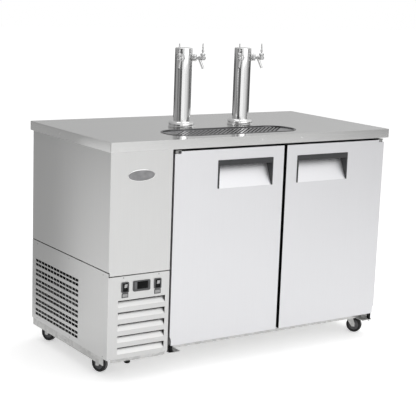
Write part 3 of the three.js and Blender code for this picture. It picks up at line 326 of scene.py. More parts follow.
def make_materials(colours):
    """Every finish, from the colours in the panel."""
    MATERIALS.update({
        "worktop": brushed_steel("worktop steel", colours.worktop, 0.16, GRAIN_X, 0.012, 0.4, 0.06),
        "panel": brushed_steel("panel steel", colours.panel, 0.40, GRAIN_Z),
        "door": brushed_steel("door steel", colours.door, 0.44, GRAIN_Z, 0.012),
        # The tray's steel is painted dark for the shade in the pan, and the grille is the same steel painted
        # lighter as its lit copy
        "tray": brushed_steel("tray steel darkened as shade", colours.tray, 0.22, GRAIN_X),
        "grille": brushed_steel("grille steel painted lighter", mixed(colours.tray, 1.38), 0.25, GRAIN_X),
        "zinc": zinc_steel("galvanised steel", colours.zinc),
        "hinge": brushed_steel("hinge steel", mixed(colours.zinc, 0.72), 0.34, GRAIN_X),
        "chrome": polished("chrome", colours.chrome, 0.08),
        "column": polished("polished column", mixed(colours.chrome, 1.01), 0.09),
        "tap": polished("tap chrome", mixed(colours.chrome, 0.87), 0.16),
        "screw": polished("bright screws", colours.chrome, 0.2),
        # Steel painted lighter than the door: painted light in the recess behind each handle
        "lit_recess": brushed_steel("recess steel painted lighter", mixed(colours.door, 1.07), 0.46, GRAIN_Z, 0.012),
        "liner": stucco("embossed lining", colours.liner),
        "fins": finned("cooling fins", mixed(colours.black, 1.6), 3.2 * MM),
        "sheet": brushed_steel("plain sheet", colours.liner, 0.4, GRAIN_Y),
        "black paint": enamelled("black enamel", colours.black),
        "black plastic": moulded("black plastic", colours.black, 0.35, shine=0.15),
        "dark plastic": moulded("dark plastic", colours.handle, 0.5, grain=700, depth=0.05),
        "bezel": moulded("grey bezel", colours.bezel, 0.4),
        "label": moulded("label film", (0.64, 0.64, 0.64), 0.35, grain=300),
        # A pale grey painted as the rocker's highlight
        "lens": moulded("painted rocker highlight", (0.74, 0.74, 0.74), 0.25, grain=300),
        "keys": moulded("key strip", (0.42, 0.42, 0.43), 0.35, grain=300),
        # Steel painted lighter than the panel: a painted highlight on the louvre blades
        "lit_blade": brushed_steel("louvre steel painted lighter", mixed(colours.panel, 1.09), 0.36, GRAIN_X),
        "window": dark_glass("smoked window", mixed(colours.black, 0.5)),
        "badge": dark_glass("badge enamel", colours.badge),
        "gasket": rubbery("gasket rubber", colours.gasket),
        "tyre": tyre_tread("tyre rubber", colours.black, (0.30, 0.30, 0.30)),
        # A pale band round the middle of each tyre: a painted highlight on the tread
        "tread": rubbery("painted tread highlight", (0.62, 0.62, 0.62)),
        "hub": moulded("wheel hub", (0.36, 0.36, 0.37), 0.45),
        "foam": cellular("foam sleeve", mixed(colours.black, 1.2)),
    })


# Making pieces

# Faces that meet at less than this angle, in degrees, are shaded as one
SMOOTH_BELOW = 35.0


def link(shape, name, material, body, smooth=SMOOTH_BELOW):
    """Turns a bmesh into a finished piece that rides on a body."""
    mesh = bpy.data.meshes.new(name)
    shape.normal_update()
    shape.to_mesh(mesh)
    shape.free()
    mesh.materials.append(MATERIALS[material])
    mesh.polygons.foreach_set("use_smooth", [True] * len(mesh.polygons))
    mesh.set_sharp_from_angle(angle=math.radians(smooth))
    piece = bpy.data.objects.new(name, mesh)
    bpy.context.scene.collection.objects.link(piece)
    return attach(piece, body)


def sharp_edges(shape, degrees=25.0):
    limit = math.radians(degrees)
    return [edge for edge in shape.edges if edge.is_manifold and edge.calc_face_angle(0.0) > limit]


def bevelled(shape, width, segments=2, edges=None):
    bmesh.ops.bevel(
        shape,
        geom=edges if edges is not None else sharp_edges(shape),
        offset=width,
        offset_type="OFFSET",
        affect="EDGES",
        segments=segments,
        profile=0.5,
        material=-1,
        clamp_overlap=True,
    )
    return shape


def weighted(piece):
    """Keeps broad faces flat where they meet a rounded edge."""
    modifier = piece.modifiers.new("Weighted normals", "WEIGHTED_NORMAL")
    modifier.keep_sharp = True
    return piece


def copied(node):
    """A solid's mesh with its shared corners merged and its flat faces whole."""
    shape = bmesh.new()
    shape.from_mesh(NODES[node].data)
    bmesh.ops.remove_doubles(shape, verts=shape.verts, dist=0.002 * MM)
    bmesh.ops.dissolve_limit(
        shape,
        angle_limit=math.radians(0.5),
        use_dissolve_boundaries=False,
        verts=shape.verts,
        edges=shape.edges,
        delimit=set(),
    )
    return shape


def stand_in(shape, node, material, name=None, smooth=SMOOTH_BELOW):
    """A finished shape in place of a plain solid, on the solid's own body."""
    piece = link(shape, name or f"{node}_skin", material, BODY_OF[node], smooth)
    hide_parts(node)
    return piece


def softened(node, material, width, segments=2, smooth=SMOOTH_BELOW):
    """A solid's shape with its edges rounded, in place of the plain solid."""
    shape = bevelled(copied(node), width, segments)
    return weighted(stand_in(shape, node, material, smooth=smooth))


def scored(shape, *planes):
    """Cuts the faces along planes, each a point and a normal, and leaves the shape whole."""
    for spot, normal in planes:
        parts = list(shape.verts) + list(shape.edges) + list(shape.faces)
        bmesh.ops.bisect_plane(shape, geom=parts, dist=0.001 * MM, plane_co=spot, plane_no=normal)
    return shape


def tinted(piece, material, chosen):
    """Gives the faces that a test chooses, by their middle and normal, a second material."""
    piece.data.materials.append(MATERIALS[material])
    last = len(piece.data.materials) - 1
    for face in piece.data.polygons:
        if chosen(face.center, face.normal):
            face.material_index = last
    return piece


def boxed(low, high, bevel=0.0, segments=2):
    low, high = Vector(low), Vector(high)
    shape = bmesh.new()
    bmesh.ops.create_cube(shape, size=1.0)
    size = high - low
    bmesh.ops.scale(shape, vec=size, verts=shape.verts)
    bmesh.ops.translate(shape, vec=(low + high) / 2, verts=shape.verts)
    if bevel:
        bevelled(shape, bevel, segments)
    return shape


def in_mm(*pairs):
    """Points of a profile, given in millimetres."""
    return [(radius * MM, height * MM) for radius, height in pairs]


def spun(profile, steps=48, closed=False):
    """A profile of (radius, height) pairs turned about the Z axis."""
    shape = bmesh.new()
    corners = [shape.verts.new((radius, 0, height)) for radius, height in profile]
    pairs = list(zip(corners, corners[1:]))
    if closed:
        pairs.append((corners[-1], corners[0]))
    lines = [shape.edges.new(pair) for pair in pairs]
    bmesh.ops.spin(
        shape,
        geom=corners + lines,
        cent=(0, 0, 0),
        axis=(0, 0, 1),
        dvec=(0, 0, 0),
        angle=2 * math.pi,
        steps=steps,
        use_merge=True,
        use_normal_flip=False,
        use_duplicate=False,
    )
    bmesh.ops.remove_doubles(shape, verts=shape.verts, dist=0.001 * MM)
    bmesh.ops.recalc_face_normals(shape, faces=shape.faces)
    return shape


def rod(radius, low, high, steps=24, edge=0.0):
    """A round bar along Z with chamfered ends."""
    return spun([
        (0, low),
        (radius - edge, low),
        (radius, low + edge),
        (radius, high - edge),
        (radius - edge, high),
        (0, high),
    ] if edge else [(0, low), (radius, low), (radius, high), (0, high)], steps)


def moved(shape, matrix):
    bmesh.ops.transform(shape, matrix=matrix, verts=shape.verts)
    return shape


def merged(*shapes):
    """Several closed shapes in one mesh."""
    whole = shapes[0]
    for extra in shapes[1:]:
        holder = bpy.data.meshes.new("holder")
        extra.to_mesh(holder)
        extra.free()
        whole.from_mesh(holder)
        bpy.data.meshes.remove(holder)
    return whole


def turn(degrees, axis):
    return Matrix.Rotation(math.radians(degrees), 4, axis)


def shift(x, y, z):
    return Matrix.Translation((x, y, z))


# Turns of a shape that faces up
FACING_FRONT, FACING_LEFT = turn(90, "X"), turn(-90, "Y")


def turned_up_to(direction):
    """The turn that brings the Z axis onto a direction."""
    return UP.rotation_difference(direction).to_matrix().to_4x4()


def middle(node):
    low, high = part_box(node)
    return (low + high) / 2


# Sizes and colours that a user would change

def length_property(label, description, millimetres):
    return FloatProperty(
        name=label,
        description=description,
        default=millimetres * MM,
        min=0.0,
        unit="LENGTH",
        precision=5,
    )


def colour_property(label, description, shade):
    return FloatVectorProperty(
        name=label,
        description=description,
        subtype="COLOR_GAMMA",
        size=3,
        default=shade,
        min=0.0,
        max=1.0,
    )


class KegeratorSizes(bpy.types.PropertyGroup):
    """Edge radii and small fittings of the object."""

    worktop_edge: length_property("Worktop edge", "Radius of the worktop's folded edge", 1.6)
    corner: length_property("Panel corner", "Radius of the folded corner of the bay's panels", 4.5)
    door_edge: length_property("Door edge", "Radius of the doors' folded edges", 2.4)
    handle_edge: length_property("Handle edge", "Radius of the moulded handles' edges", 1.3)
    screw_head: length_property("Screw head", "Radius of the screw heads", 3.4)
    rim: length_property("Badge rim", "Width of the badge's bright rim", 2.0)
    vent_bridge: length_property("Vent bridge", "Width of the metal between two side slots", 2.2)
    bridges: IntProperty(
        name="Bridges",
        description="Bridges across each long side slot",
        default=1,
        min=1,
    )


class KegeratorColours(bpy.types.PropertyGroup):
    """Colours of the finishes, as they look."""

    worktop: colour_property("Worktop", "Polished steel of the worktop", (0.905, 0.905, 0.902))
    panel: colour_property("Panels", "Brushed steel of the bay's panels", (0.85, 0.85, 0.847))
    door: colour_property("Doors", "Pale steel of the doors", (0.906, 0.906, 0.914))
    # Painted shade: the drip tray's steel is given dark, for the shade in its pan
    tray: colour_property("Drip tray", "Steel of the drip tray", (0.44, 0.44, 0.445))
    zinc: colour_property("Galvanised", "Steel of the base and casters", (0.80, 0.80, 0.795))
    chrome: colour_property("Chrome", "Columns and taps", (0.94, 0.94, 0.94))
    liner: colour_property("Lining", "Embossed lining of the cabinet", (0.82, 0.83, 0.84))
    handle: colour_property("Handles", "Dark plastic of the handles", (0.20, 0.203, 0.21))
    bezel: colour_property("Bezel", "Grey plastic round the display", (0.31, 0.31, 0.315))
    black: colour_property("Black", "Black plastic, paint and rubber", (0.07, 0.07, 0.075))
    badge: colour_property("Badge", "Grey enamel of the bare badge", (0.56, 0.56, 0.565))
    gasket: colour_property("Gasket", "Grey rubber round the doors", (0.42, 0.42, 0.43))


# The object's pieces

def make_worktop(sizes):
    softened("worktop", "worktop", sizes.worktop_edge, 3)
    softened("drip_tray_pan", "tray", 0.5 * MM)
    softened("drip_grille", "grille", 0.4 * MM, 1)
    low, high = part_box("worktop")
    level = high.z - 18 * MM
    places = [shift(x * MM, low.y, level) @ FACING_FRONT for x in (8, 222)]
    places += [shift(low.x, y * MM, level) @ FACING_LEFT for y in (311, 78, -228)]
    heads = [moved(screw_head(sizes.screw_head), place) for place in places]
    link(merged(*heads), "worktop_screws", "screw", CABINET)


def screw_head(radius):
    """A low domed head facing +Z, resting at height 0."""
    return spun([
        (0, -0.3 * MM),
        (radius, -0.3 * MM),
        (radius, 0.05 * MM),
        (radius * 0.86, 0.28 * MM),
        (radius * 0.5, 0.4 * MM),
        (0, 0.42 * MM),
    ], 16)


def make_cabinet():
    """The shell with a strip over the doors painted black as shade, the post, the lining and the beer lines."""
    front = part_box("cabinet_shell")[0].y
    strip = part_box("left_door_body")[1].z - 4 * MM
    shape = scored(bevelled(copied("cabinet_shell"), 1.5 * MM), ((0, 0, strip), UP))
    shell = weighted(stand_in(shape, "cabinet_shell", "panel"))
    # Painted shade: the shell's front faces above the doors are coloured black for the shade in the gap under the
    # worktop
    tinted(shell, "black plastic", lambda spot, normal: (
        normal.y < -0.9 and spot.z > strip and spot.y < front + 3 * MM
    ))
    softened("centre_mullion", "black plastic", 2 * MM, 3)
    softened("inner_liner", "liner", 0.4 * MM)
    softened("tower_1_beer_lines", "foam", 0.3 * MM, 1)
    softened("tower_2_beer_lines", "foam", 0.3 * MM, 1)


def folded(node, radius, width):
    """A panel with a rounded fold at its front left corner, in place of the plain solid."""
    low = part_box(node)[0]
    shape = copied(node)
    corner = [
        edge for edge in shape.edges
        if all(max(abs(end.co.x - low.x), abs(end.co.y - low.y)) < 0.05 * MM for end in edge.verts)
    ]
    bevelled(bevelled(shape, radius, 5, corner), width, 1)
    return weighted(stand_in(shape, node, "panel"))


def make_bay(sizes):
    folded("upper_bay_panel", sizes.corner, 0.4 * MM)
    cover = softened("lower_vent_cover", "panel", 0.35 * MM, 1)
    # Painted highlight: the cover's faces that tilt up and forward, the louvre blades, get the lighter steel
    tinted(cover, "lit_blade", lambda spot, normal: normal.y < -0.5 and normal.z > 0.1)
    softened("bay_back_panel", "zinc", 0.3 * MM, 1)
    softened("cord_gland", "black plastic", 0.8 * MM)
    softened("base_frame", "zinc", 0.7 * MM)
    make_vent_bridges(sizes)
    make_bay_screws(sizes)
    make_base_stop()
    make_back_shade_screen()


def make_back_shade_screen():
    """A dark screen just inside the vents of the back panel: a dark sheet put in as shade behind them."""
    low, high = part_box("bay_back_panel")
    margin, bottom, top = 40 * MM, 245 * MM, 452 * MM
    screen = boxed(
        (low.x + margin, low.y - 2.4 * MM, bottom),
        (high.x - margin, low.y - 0.4 * MM, top),
        0.2 * MM,
    )
    link(screen, "back_vent_shade_screen", "foam", CABINET)


# The long slots in the side, in millimetres: the tops of their rows, the front end of the first
# slot, and their number, pitch, length and height
SLOT_ROWS = [381 - pair * 46 - row * 18.5 for pair in range(6) for row in range(2)]
SLOT_FRONT, SLOT_COUNT, SLOT_PITCH, SLOT_SPAN, SLOT_HEIGHT = -109, 7, 421 / 7, 421 / 7 - 4, 12


def make_vent_bridges(sizes):
    """The slots in the side are short dashes: narrow bridges cross each long slot."""
    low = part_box("lower_vent_cover")[0]
    width = sizes.vent_bridge
    dash = (SLOT_SPAN * MM - sizes.bridges * width) / (sizes.bridges + 1)
    bars = []
    for top in SLOT_ROWS:
        for slot in range(SLOT_COUNT):
            start = (SLOT_FRONT + slot * SLOT_PITCH) * MM
            for step in range(sizes.bridges):
                y = start + dash * (step + 1) + width * step
                bars.append(boxed(
                    (low.x + 0.1 * MM, y, (top - SLOT_HEIGHT - 0.2) * MM),
                    (low.x + 1.4 * MM, y + width, (top + 0.2) * MM),
                ))
    link(merged(*bars), "vent_bridges", "panel", CABINET)


# Screws of the bay's panels, in millimetres: depth from the worktop's front edge and height on the
# side, then distance from the worktop's left end on the front
SIDE_SCREWS = ((49, 452), (356, 452), (668, 452), (43, 106), (340, 106), (668, 106))
FRONT_SCREWS, FRONT_SCREW_LEVEL = (74, 242), 441
WORKTOP_LEFT, WORKTOP_FRONT = -0.734, -0.375


def make_bay_screws(sizes):
    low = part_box("lower_vent_cover")[0]
    places = [
        shift(low.x, WORKTOP_FRONT + y * MM, z * MM) @ FACING_LEFT for y, z in SIDE_SCREWS
    ] + [
        shift(WORKTOP_LEFT + x * MM, low.y, FRONT_SCREW_LEVEL * MM) @ FACING_FRONT
        for x in FRONT_SCREWS
    ]
    heads = [moved(screw_head(sizes.screw_head * 0.8), place) for place in places]
    link(merged(*heads), "bay_screws", "hinge", CABINET)


# The middle of the stop, in metres
BASE_STOP = (-0.618, -0.34)


def make_base_stop():
    """The round black stop under the bay's front strip."""
    plug = spun(in_mm((0, 64), (9, 64), (12.4, 66.6), (14, 70), (14, 76), (0, 76)), 24)
    moved(plug, shift(*BASE_STOP, 0))
    link(plug, "base_stop", "black plastic", CABINET)


def oval(half_width, half_height, low, high, steps=64):
    """An oval plate standing in the XZ plane, from depth low to depth high."""
    shape = rod(1.0, -high, -low, steps)
    return moved(shape, Matrix.Diagonal((half_width, 1.0, half_height, 1.0)) @ FACING_FRONT)


def make_badge(sizes):
    low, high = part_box("badge_plate")
    spot = middle("badge_plate")
    half_width, half_height = (high.x - low.x) / 2, (high.z - low.z) / 2
    rim = bevelled(oval(half_width, half_height, low.y + 0.3 * MM, high.y), 0.4 * MM)
    moved(rim, shift(spot.x, 0, spot.z))
    stand_in(rim, "badge_plate", "chrome", "badge_rim")
    inner = oval(half_width - sizes.rim, half_height - sizes.rim, low.y, low.y + 1.2 * MM)
    bevelled(inner, 0.25 * MM)
    moved(inner, shift(spot.x, 0, spot.z))
    link(inner, "badge_face", "badge", CABINET)


def make_controls():
    for side in SIDES:
        softened(f"{side}_switch_housing", "bezel", 0.6 * MM)
        make_rocker(side)
        make_label(side)
    softened("controller_housing", "bezel", 0.8 * MM, 3)
    low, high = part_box("controller_housing")
    front = low.y
    wide, tall = high.x - low.x, high.z - low.z
    window = boxed(
        (low.x + 0.225 * wide, front - 0.12 * MM, low.z + 0.22 * tall),
        (high.x - 0.15 * wide, front + 0.98 * MM, high.z - 0.10 * tall),
        0.1 * MM,
    )
    link(window, "display_window", "window", CABINET)
    strip = boxed(
        (low.x + 0.09 * wide, front - 0.15 * MM, low.z + 0.22 * tall),
        (low.x + 0.19 * wide, front + 0.2 * MM, high.z - 0.12 * tall),
        0.15 * MM,
    )
    link(strip, "key_strip", "keys", CABINET)


def make_rocker(side):
    """The rocker, with a pale patch in its upper right corner: a painted highlight."""
    node = f"{side}_rocker"
    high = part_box(node)[1]
    centre = middle(node)
    left, right = centre.x - 3.5 * MM, high.x - 2 * MM
    bottom, top = centre.z - 2 * MM, high.z - 4 * MM
    shape = bevelled(copied(node), 0.8 * MM, 3)
    scored(shape, ((left, 0, 0), RIGHT), ((right, 0, 0), RIGHT))
    scored(shape, ((0, 0, bottom), UP), ((0, 0, top), UP))
    piece = stand_in(shape, node, "black plastic")
    # Painted highlight: the rocker's front faces in its upper right corner get a pale grey
    tinted(weighted(piece), "lens", lambda spot, normal: (
        left < spot.x < right and bottom < spot.z < top and normal.y < -0.5
    ))


def make_label(side):
    """The small framed plate below each switch, left without words."""
    low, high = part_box(f"{side}_switch_housing")
    centre = (low.x + high.x) / 2
    face, bottom, top, margin = -370 * MM, 356.5 * MM, 376.5 * MM, 4 * MM
    half_width = 15.5 * MM
    frame_plate = boxed(
        (centre - half_width, face - 1.0 * MM, bottom),
        (centre + half_width, face - 0.05 * MM, top),
        0.45 * MM,
    )
    link(frame_plate, f"{side}_label_frame", "bezel", CABINET)
    film = boxed(
        (centre - half_width + margin, face - 1.15 * MM, bottom + margin),
        (centre + half_width - margin, face - 0.9 * MM, top - margin),
        0.1 * MM,
    )
    link(film, f"{side}_label_film", "label", CABINET)


def make_doors(sizes):
    for side in SIDES:
        make_door_body(side, sizes.door_edge)
        softened(f"{side}_door_handle", "dark plastic", sizes.handle_edge, 2)
        softened(f"{side}_door_gasket", "gasket", 2.2 * MM, 3)
        make_inner_panel(side)
        make_hinges(side)


def make_door_body(side, edge):
    """A door with its top and inner side painted black as shade in the gaps, and the recess behind its handle
    painted lighter as light.
    """
    door = softened(f"{side}_door_body", "door", edge, 3)
    low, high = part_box(f"{side}_door_body")
    inner = high.x if side == "left" else low.x
    # Painted shade: the door's top and inner side faces get black plastic, for the shade in the gaps round the
    # door
    tinted(door, "black plastic", lambda spot, normal: (
        (abs(normal.z) > 0.9 and spot.z > high.z - 1 * MM)
        or (abs(normal.x) > 0.9 and abs(spot.x - inner) < 1 * MM)
    ))
    grip_low, grip_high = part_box(f"{side}_door_handle")
    margin = 5 * MM
    # Painted light: the recess behind the handle gets steel painted lighter than the door, for the light its ramp
    # catches
    tinted(door, "lit_recess", lambda spot, normal: (
        grip_low.x - margin < spot.x < grip_high.x + margin
        and spot.z > grip_low.z - margin
        and spot.y > low.y + 1.5 * MM
        and normal.y < -0.2
    ))


def inset_face(shape, face, thickness, depth):
    """Insets a face by a thickness and raises the inset part by a depth."""
    bmesh.ops.inset_region(
        shape,
        faces=[face],
        thickness=thickness,
        depth=depth,
        use_even_offset=True,
    )


def make_inner_panel(side):
    """The embossed panel inside the door, within the gasket."""
    low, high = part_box(f"{side}_door_gasket")
    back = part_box(f"{side}_door_body")[1].y
    reach = 22 * MM
    panel = boxed(
        (low.x + reach, back - 0.5 * MM, low.z + reach),
        (high.x - reach, back + 6 * MM, high.z - reach),
    )

    def rearmost(face):
        return round(face.calc_center_median().y, 5), face.calc_area()

    inset_face(panel, max(panel.faces, key=rearmost), 30 * MM, 0.0)
    inset_face(panel, max(panel.faces, key=rearmost), 8 * MM, -3 * MM)
    bevelled(panel, 2 * MM, 3, sharp_edges(panel, 12))
    weighted(link(panel, f"{side}_door_inner_panel", "liner", f"{side}_door"))


def make_hinges(side):
    """The two brackets, the lower one black round its pin."""
    pivot = Vector(JOINTS[f"{side}_door_hinge"]["pos_m"])
    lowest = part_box(f"{side}_door_gasket")[0].z - 45 * MM
    softened(f"{side}_top_hinge", "hinge", 0.6 * MM)
    bracket = softened(f"{side}_bottom_hinge", "zinc", 0.5 * MM)
    tinted(bracket, "black plastic", lambda spot, normal: (
        math.hypot(spot.x - pivot.x, spot.y - pivot.y) < 9.2 * MM and spot.z > lowest
    ))


def quarter_round(outer, top, radius, steps):
    """Points of a rounded shoulder, from the outside up to the top."""
    for step in range(steps + 1):
        angle = math.radians(90 * step / steps)
        yield outer - radius + radius * math.cos(angle), top - radius + radius * math.sin(angle)


def column_profile(low, high, radius):
    wall, edge = 2 * MM, 3 * MM
    inner = radius - wall
    return [
        (0, high - wall),
        (inner, high - wall),
        (inner, low),
        (radius, low),
        *quarter_round(radius, high, edge, 5),
        (0, high),
    ]


def make_columns():
    for index in (1, 2):
        low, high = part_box(f"tower_{index}_column")
        centre = middle(f"tower_{index}_column")
        radius = (high.x - low.x) / 2
        tube = moved(spun(column_profile(low.z, high.z, radius), 96), shift(centre.x, centre.y, 0))
        stand_in(tube, f"tower_{index}_column", "column", smooth=40)
        make_flange(index, centre)
        for side in SIDES:
            make_tap(index, side, centre)
            make_lever(index, side)


# From a column's middle to the flange's bore and the tap's collar
COLUMN_FACE = 38.4 * MM


def make_flange(index, centre):
    low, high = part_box(f"tower_{index}_flange")
    outer = (high.x - low.x) / 2
    profile = [
        (COLUMN_FACE, low.z),
        (outer - 0.8 * MM, low.z),
        (outer, low.z + 0.8 * MM),
        (outer, low.z + 7 * MM),
        (outer - 0.6 * MM, low.z + 8 * MM),
        (outer - 2.2 * MM, low.z + 8.4 * MM),
        *quarter_round(outer - 2.2 * MM, high.z, 15 * MM, 8),
        (COLUMN_FACE + 0.8 * MM, high.z),
        (COLUMN_FACE, high.z - 0.8 * MM),
    ]
    bell = moved(spun(profile, 96, closed=True), shift(centre.x, centre.y, 0))
    stand_in(bell, f"tower_{index}_flange", "chrome", smooth=30)


# The tap in its own frame: the profiles of its collar and body and of its bonnet, in millimetres,
# the distance to the bonnet's axis and the two ends of the spout
TAP_BODY = (
    (0, 24), (7.9, 24), (7.9, 38.4), (16.5, 38.4), (17, 39), (17, 40.8), (16.2, 41.4),
    (12.6, 41.8), (12.6, 43.4), (14, 44.2), (15, 45.8), (15, 55.8), (14, 57.4), (9.6, 58.4),
    (8, 59.8), (7.6, 65.4), (8.4, 69.5), (10, 74), (10, 93), (8.8, 96), (6.4, 97.6), (0, 98),
)
TAP_BONNET = (
    (0, -8), (9.4, -8), (9.4, 11), (10.6, 12), (11, 13), (11, 17.6), (10, 18.9), (8.4, 20),
    (7.2, 20), (6.9, 19.4), (6.9, 9.2), (0, 9),
)
BONNET_REACH = 86 * MM
SPOUT = (Vector((0, -69 * MM, 0)), Vector((0, -89 * MM, -46 * MM)))


def make_tap(index, side, centre):
    """A tap in its own frame, then set at 45 degrees on its column."""
    pivot = Vector(JOINTS[f"tower_{index}_{side}_lever_tilt"]["pos_m"])
    height = pivot.z - 16 * MM
    across = spun(in_mm(*TAP_BODY), 40)
    moved(across, FACING_FRONT)
    grip_count = 16
    grip_low = (-0.9 * MM, -COLUMN_FACE - 16.6 * MM, 14.4 * MM)
    grip_high = (0.9 * MM, -COLUMN_FACE - 8.2 * MM, 15.7 * MM)
    grips = [
        moved(boxed(grip_low, grip_high, 0.3 * MM), turn(360 * step / grip_count, "Y"))
        for step in range(grip_count)
    ]
    bonnet = moved(spun(in_mm(*TAP_BONNET), 36), shift(0, -BONNET_REACH, 0))
    start, end = SPOUT
    lean = (end - start).normalized()
    length = (end - start).length
    spout = spun([
        (0, 0),
        (6.6 * MM, 0),
        (6.2 * MM, length * 0.6),
        (5.9 * MM, length - 3 * MM),
        (6.4 * MM, length - 2.4 * MM),
        (6.4 * MM, length - 0.6 * MM),
        (5.8 * MM, length),
        (4.6 * MM, length),
        (4.3 * MM, length - 14 * MM),
        (0, length - 14.2 * MM),
    ], 32)
    moved(spout, Matrix.Translation(start) @ turned_up_to(lean))
    whole = merged(across, *grips, bonnet, spout)
    quarter = -45 if side == "left" else 45
    moved(whole, shift(centre.x, centre.y, height) @ turn(quarter, "Z"))
    stand_in(whole, f"tower_{index}_{side}_tap", "tap", smooth=32)


def make_lever(index, side):
    """A bare lever: its ball sits in the tap's bonnet."""
    name = f"tower_{index}_{side}_lever"
    pivot = Vector(JOINTS[f"{name}_tilt"]["pos_m"])
    ball = 6.4 * MM
    profile = [
        (ball * math.sin(math.radians(angle)), -ball * math.cos(math.radians(angle)))
        for angle in range(0, 151, 15)
    ]
    profile += in_mm(
        (3.2, 9.6), (3.4, 10.5), (5.1, 12), (5.4, 13.2), (5.4, 18), (4.6, 20), (3.2, 21.2),
        (2.8, 26), (3.2, 28), (4, 30), (4, 32.4), (3.2, 34), (2.8, 36.5), (2.9, 44),
        (2.4, 46.6), (1.4, 47.8), (0, 48),
    )
    shape = moved(spun(profile, 28), Matrix.Translation(pivot))
    stand_in(shape, name, "tap", smooth=32)


def make_casters():
    for place in ("front_left", "front_right", "rear_left", "rear_right"):
        softened(f"{place}_caster_plate", "zinc", 0.6 * MM)
        softened(f"{place}_caster_fork", "zinc", 0.7 * MM)
        make_wheel(place)
        make_plate_bolts(place)
        if place.startswith("front"):
            softened(f"{place}_brake_pedal", "dark plastic", 0.9 * MM, 3)


# Half profiles of a wheel's parts in millimetres, from the side to the middle
TYRE = ((25, 11.6), (27, 14), (32.4, 13.7), (34.8, 11.6), (36.5, 8))
HUB = (
    (5.4, 15.5), (9, 15.5), (10, 14.6), (10.6, 10),
    (15, 8.4), (22, 8.4), (23.4, 10.6), (26.4, 10.6),
)
# The pale band is a painted highlight on the tread
TREAD_HIGHLIGHT = ((35.9, 2.2), (36.52, 2))


def mirrored(*half):
    """A whole profile from its half."""
    return in_mm(*((radius, -height) for radius, height in half), *reversed(half))


def make_wheel(place):
    """Tyre, a pale band painted round the tread as a highlight, and hub, turned about the wheel's own axle."""
    joint = JOINTS[f"{place}_wheel_spin"]
    node = f"{place}_caster_wheel"
    body = BODY_OF[node]
    lie = Matrix.Translation(joint["pos_m"]) @ turned_up_to(Vector(joint["axis"]))
    tyre = spun(mirrored(*TYRE), 64, closed=True)
    stand_in(moved(tyre, lie), node, "tyre", f"{place}_tyre", 40)
    hub = spun(mirrored(*HUB), 48, closed=True)
    link(moved(hub, lie), f"{place}_hub", "hub", body, 30)
    band = spun(mirrored(*TREAD_HIGHLIGHT), 64, closed=True)
    link(moved(band, lie), f"{place}_tread_highlight", "tread", body, 30)


def make_plate_bolts(place):
    """The four bolts that hold a caster's plate."""
    low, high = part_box(f"{place}_caster_plate")
    inset = 9 * MM
    bolts = []
    for x in (low.x + inset, high.x - inset):
        for y in (low.y + inset, high.y - inset):
            head = rod(5 * MM, low.z - 3.4 * MM, low.z + 0.4 * MM, 6, 0.4 * MM)
            bolts.append(moved(head, shift(x, y, 0)))
    link(merged(*bolts), f"{place}_plate_bolts", "screw", CABINET)


def make_cooling():
    softened("compressor", "black paint", 1.2 * MM, 2, smooth=50)
    softened("condenser", "fins", 0.4 * MM, 1)
    softened("condenser_fan", "black plastic", 0.3 * MM, 1)
    softened("evaporator", "sheet", 0.4 * MM, 1)
    softened("evaporator_fan", "black plastic", 0.3 * MM, 1)


# The studio

CAMERA_PLACE = (-2.947785, -4.381939, 1.639617)
CAMERA_AZIMUTH, CAMERA_ELEVATION, CAMERA_ROLL = 33.83115, 10.99451, 2.12489
FOCAL_PIXELS = 1164.96
FRAME_PIXELS = 416
SENSOR = 36.0


def camera_matrix():
    azimuth, elevation, roll = (
        math.radians(angle) for angle in (CAMERA_AZIMUTH, CAMERA_ELEVATION, CAMERA_ROLL)
    )
    ahead = Vector((
        math.sin(azimuth) * math.cos(elevation),
        math.cos(azimuth) * math.cos(elevation),
        -math.sin(elevation),
    ))
    across = Vector((math.cos(azimuth), -math.sin(azimuth), 0))
    above = across.cross(ahead)
    side = math.cos(roll) * across + math.sin(roll) * above
    head = -math.sin(roll) * across + math.cos(roll) * above
    turned = Matrix((side, head, -ahead)).transposed().to_4x4()
    return Matrix.Translation(CAMERA_PLACE) @ turned


def make_camera():
    lens = bpy.data.cameras.new("camera")
    lens.sensor_width = SENSOR
    lens.lens = FOCAL_PIXELS / FRAME_PIXELS * SENSOR
    lens.clip_end = 100
    camera = bpy.data.objects.new("camera", lens)
    camera.matrix_world = camera_matrix()
    bpy.context.scene.collection.objects.link(camera)
    bpy.context.scene.camera = camera


# Brightness of the studio's walls, seen by surfaces: the base value and its change along each axis
WORLD_BASE = 0.62
WORLD_SLOPES = (0.14, -0.22, 0.05)
WORLD_LEAST = 0.08


def make_world():
    """White to the camera; to surfaces a soft room that is brighter in front and to the right."""
    world = bpy.data.worlds.new("studio")
    graph = Graph(world, "ShaderNodeOutputWorld")
    place = graph.node("ShaderNodeTexCoord", output="Generated")
    sockets = {0: place, 1: WORLD_SLOPES}
    slope = graph.node("ShaderNodeVectorMath", {"operation": "DOT_PRODUCT"}, sockets, "Value")
    room = (slope + WORLD_BASE).at_least(WORLD_LEAST)
    seen = graph.node("ShaderNodeLightPath", output="Is Camera Ray")
    strength = graph.node("ShaderNodeMix", None, {0: seen, 2: room, 3: 1.0})
    sockets = {"Color": (1, 1, 1, 1), "Strength": strength}
    graph.feed(graph.surface, graph.node("ShaderNodeBackground", None, sockets))
    bpy.context.scene.world = world


# The floor's glow to the camera and in reflections, and its half width in metres
FLOOR_GLOW = 0.45
FLOOR_GLOW_IN_METAL = 0.20
FLOOR_REACH = 30


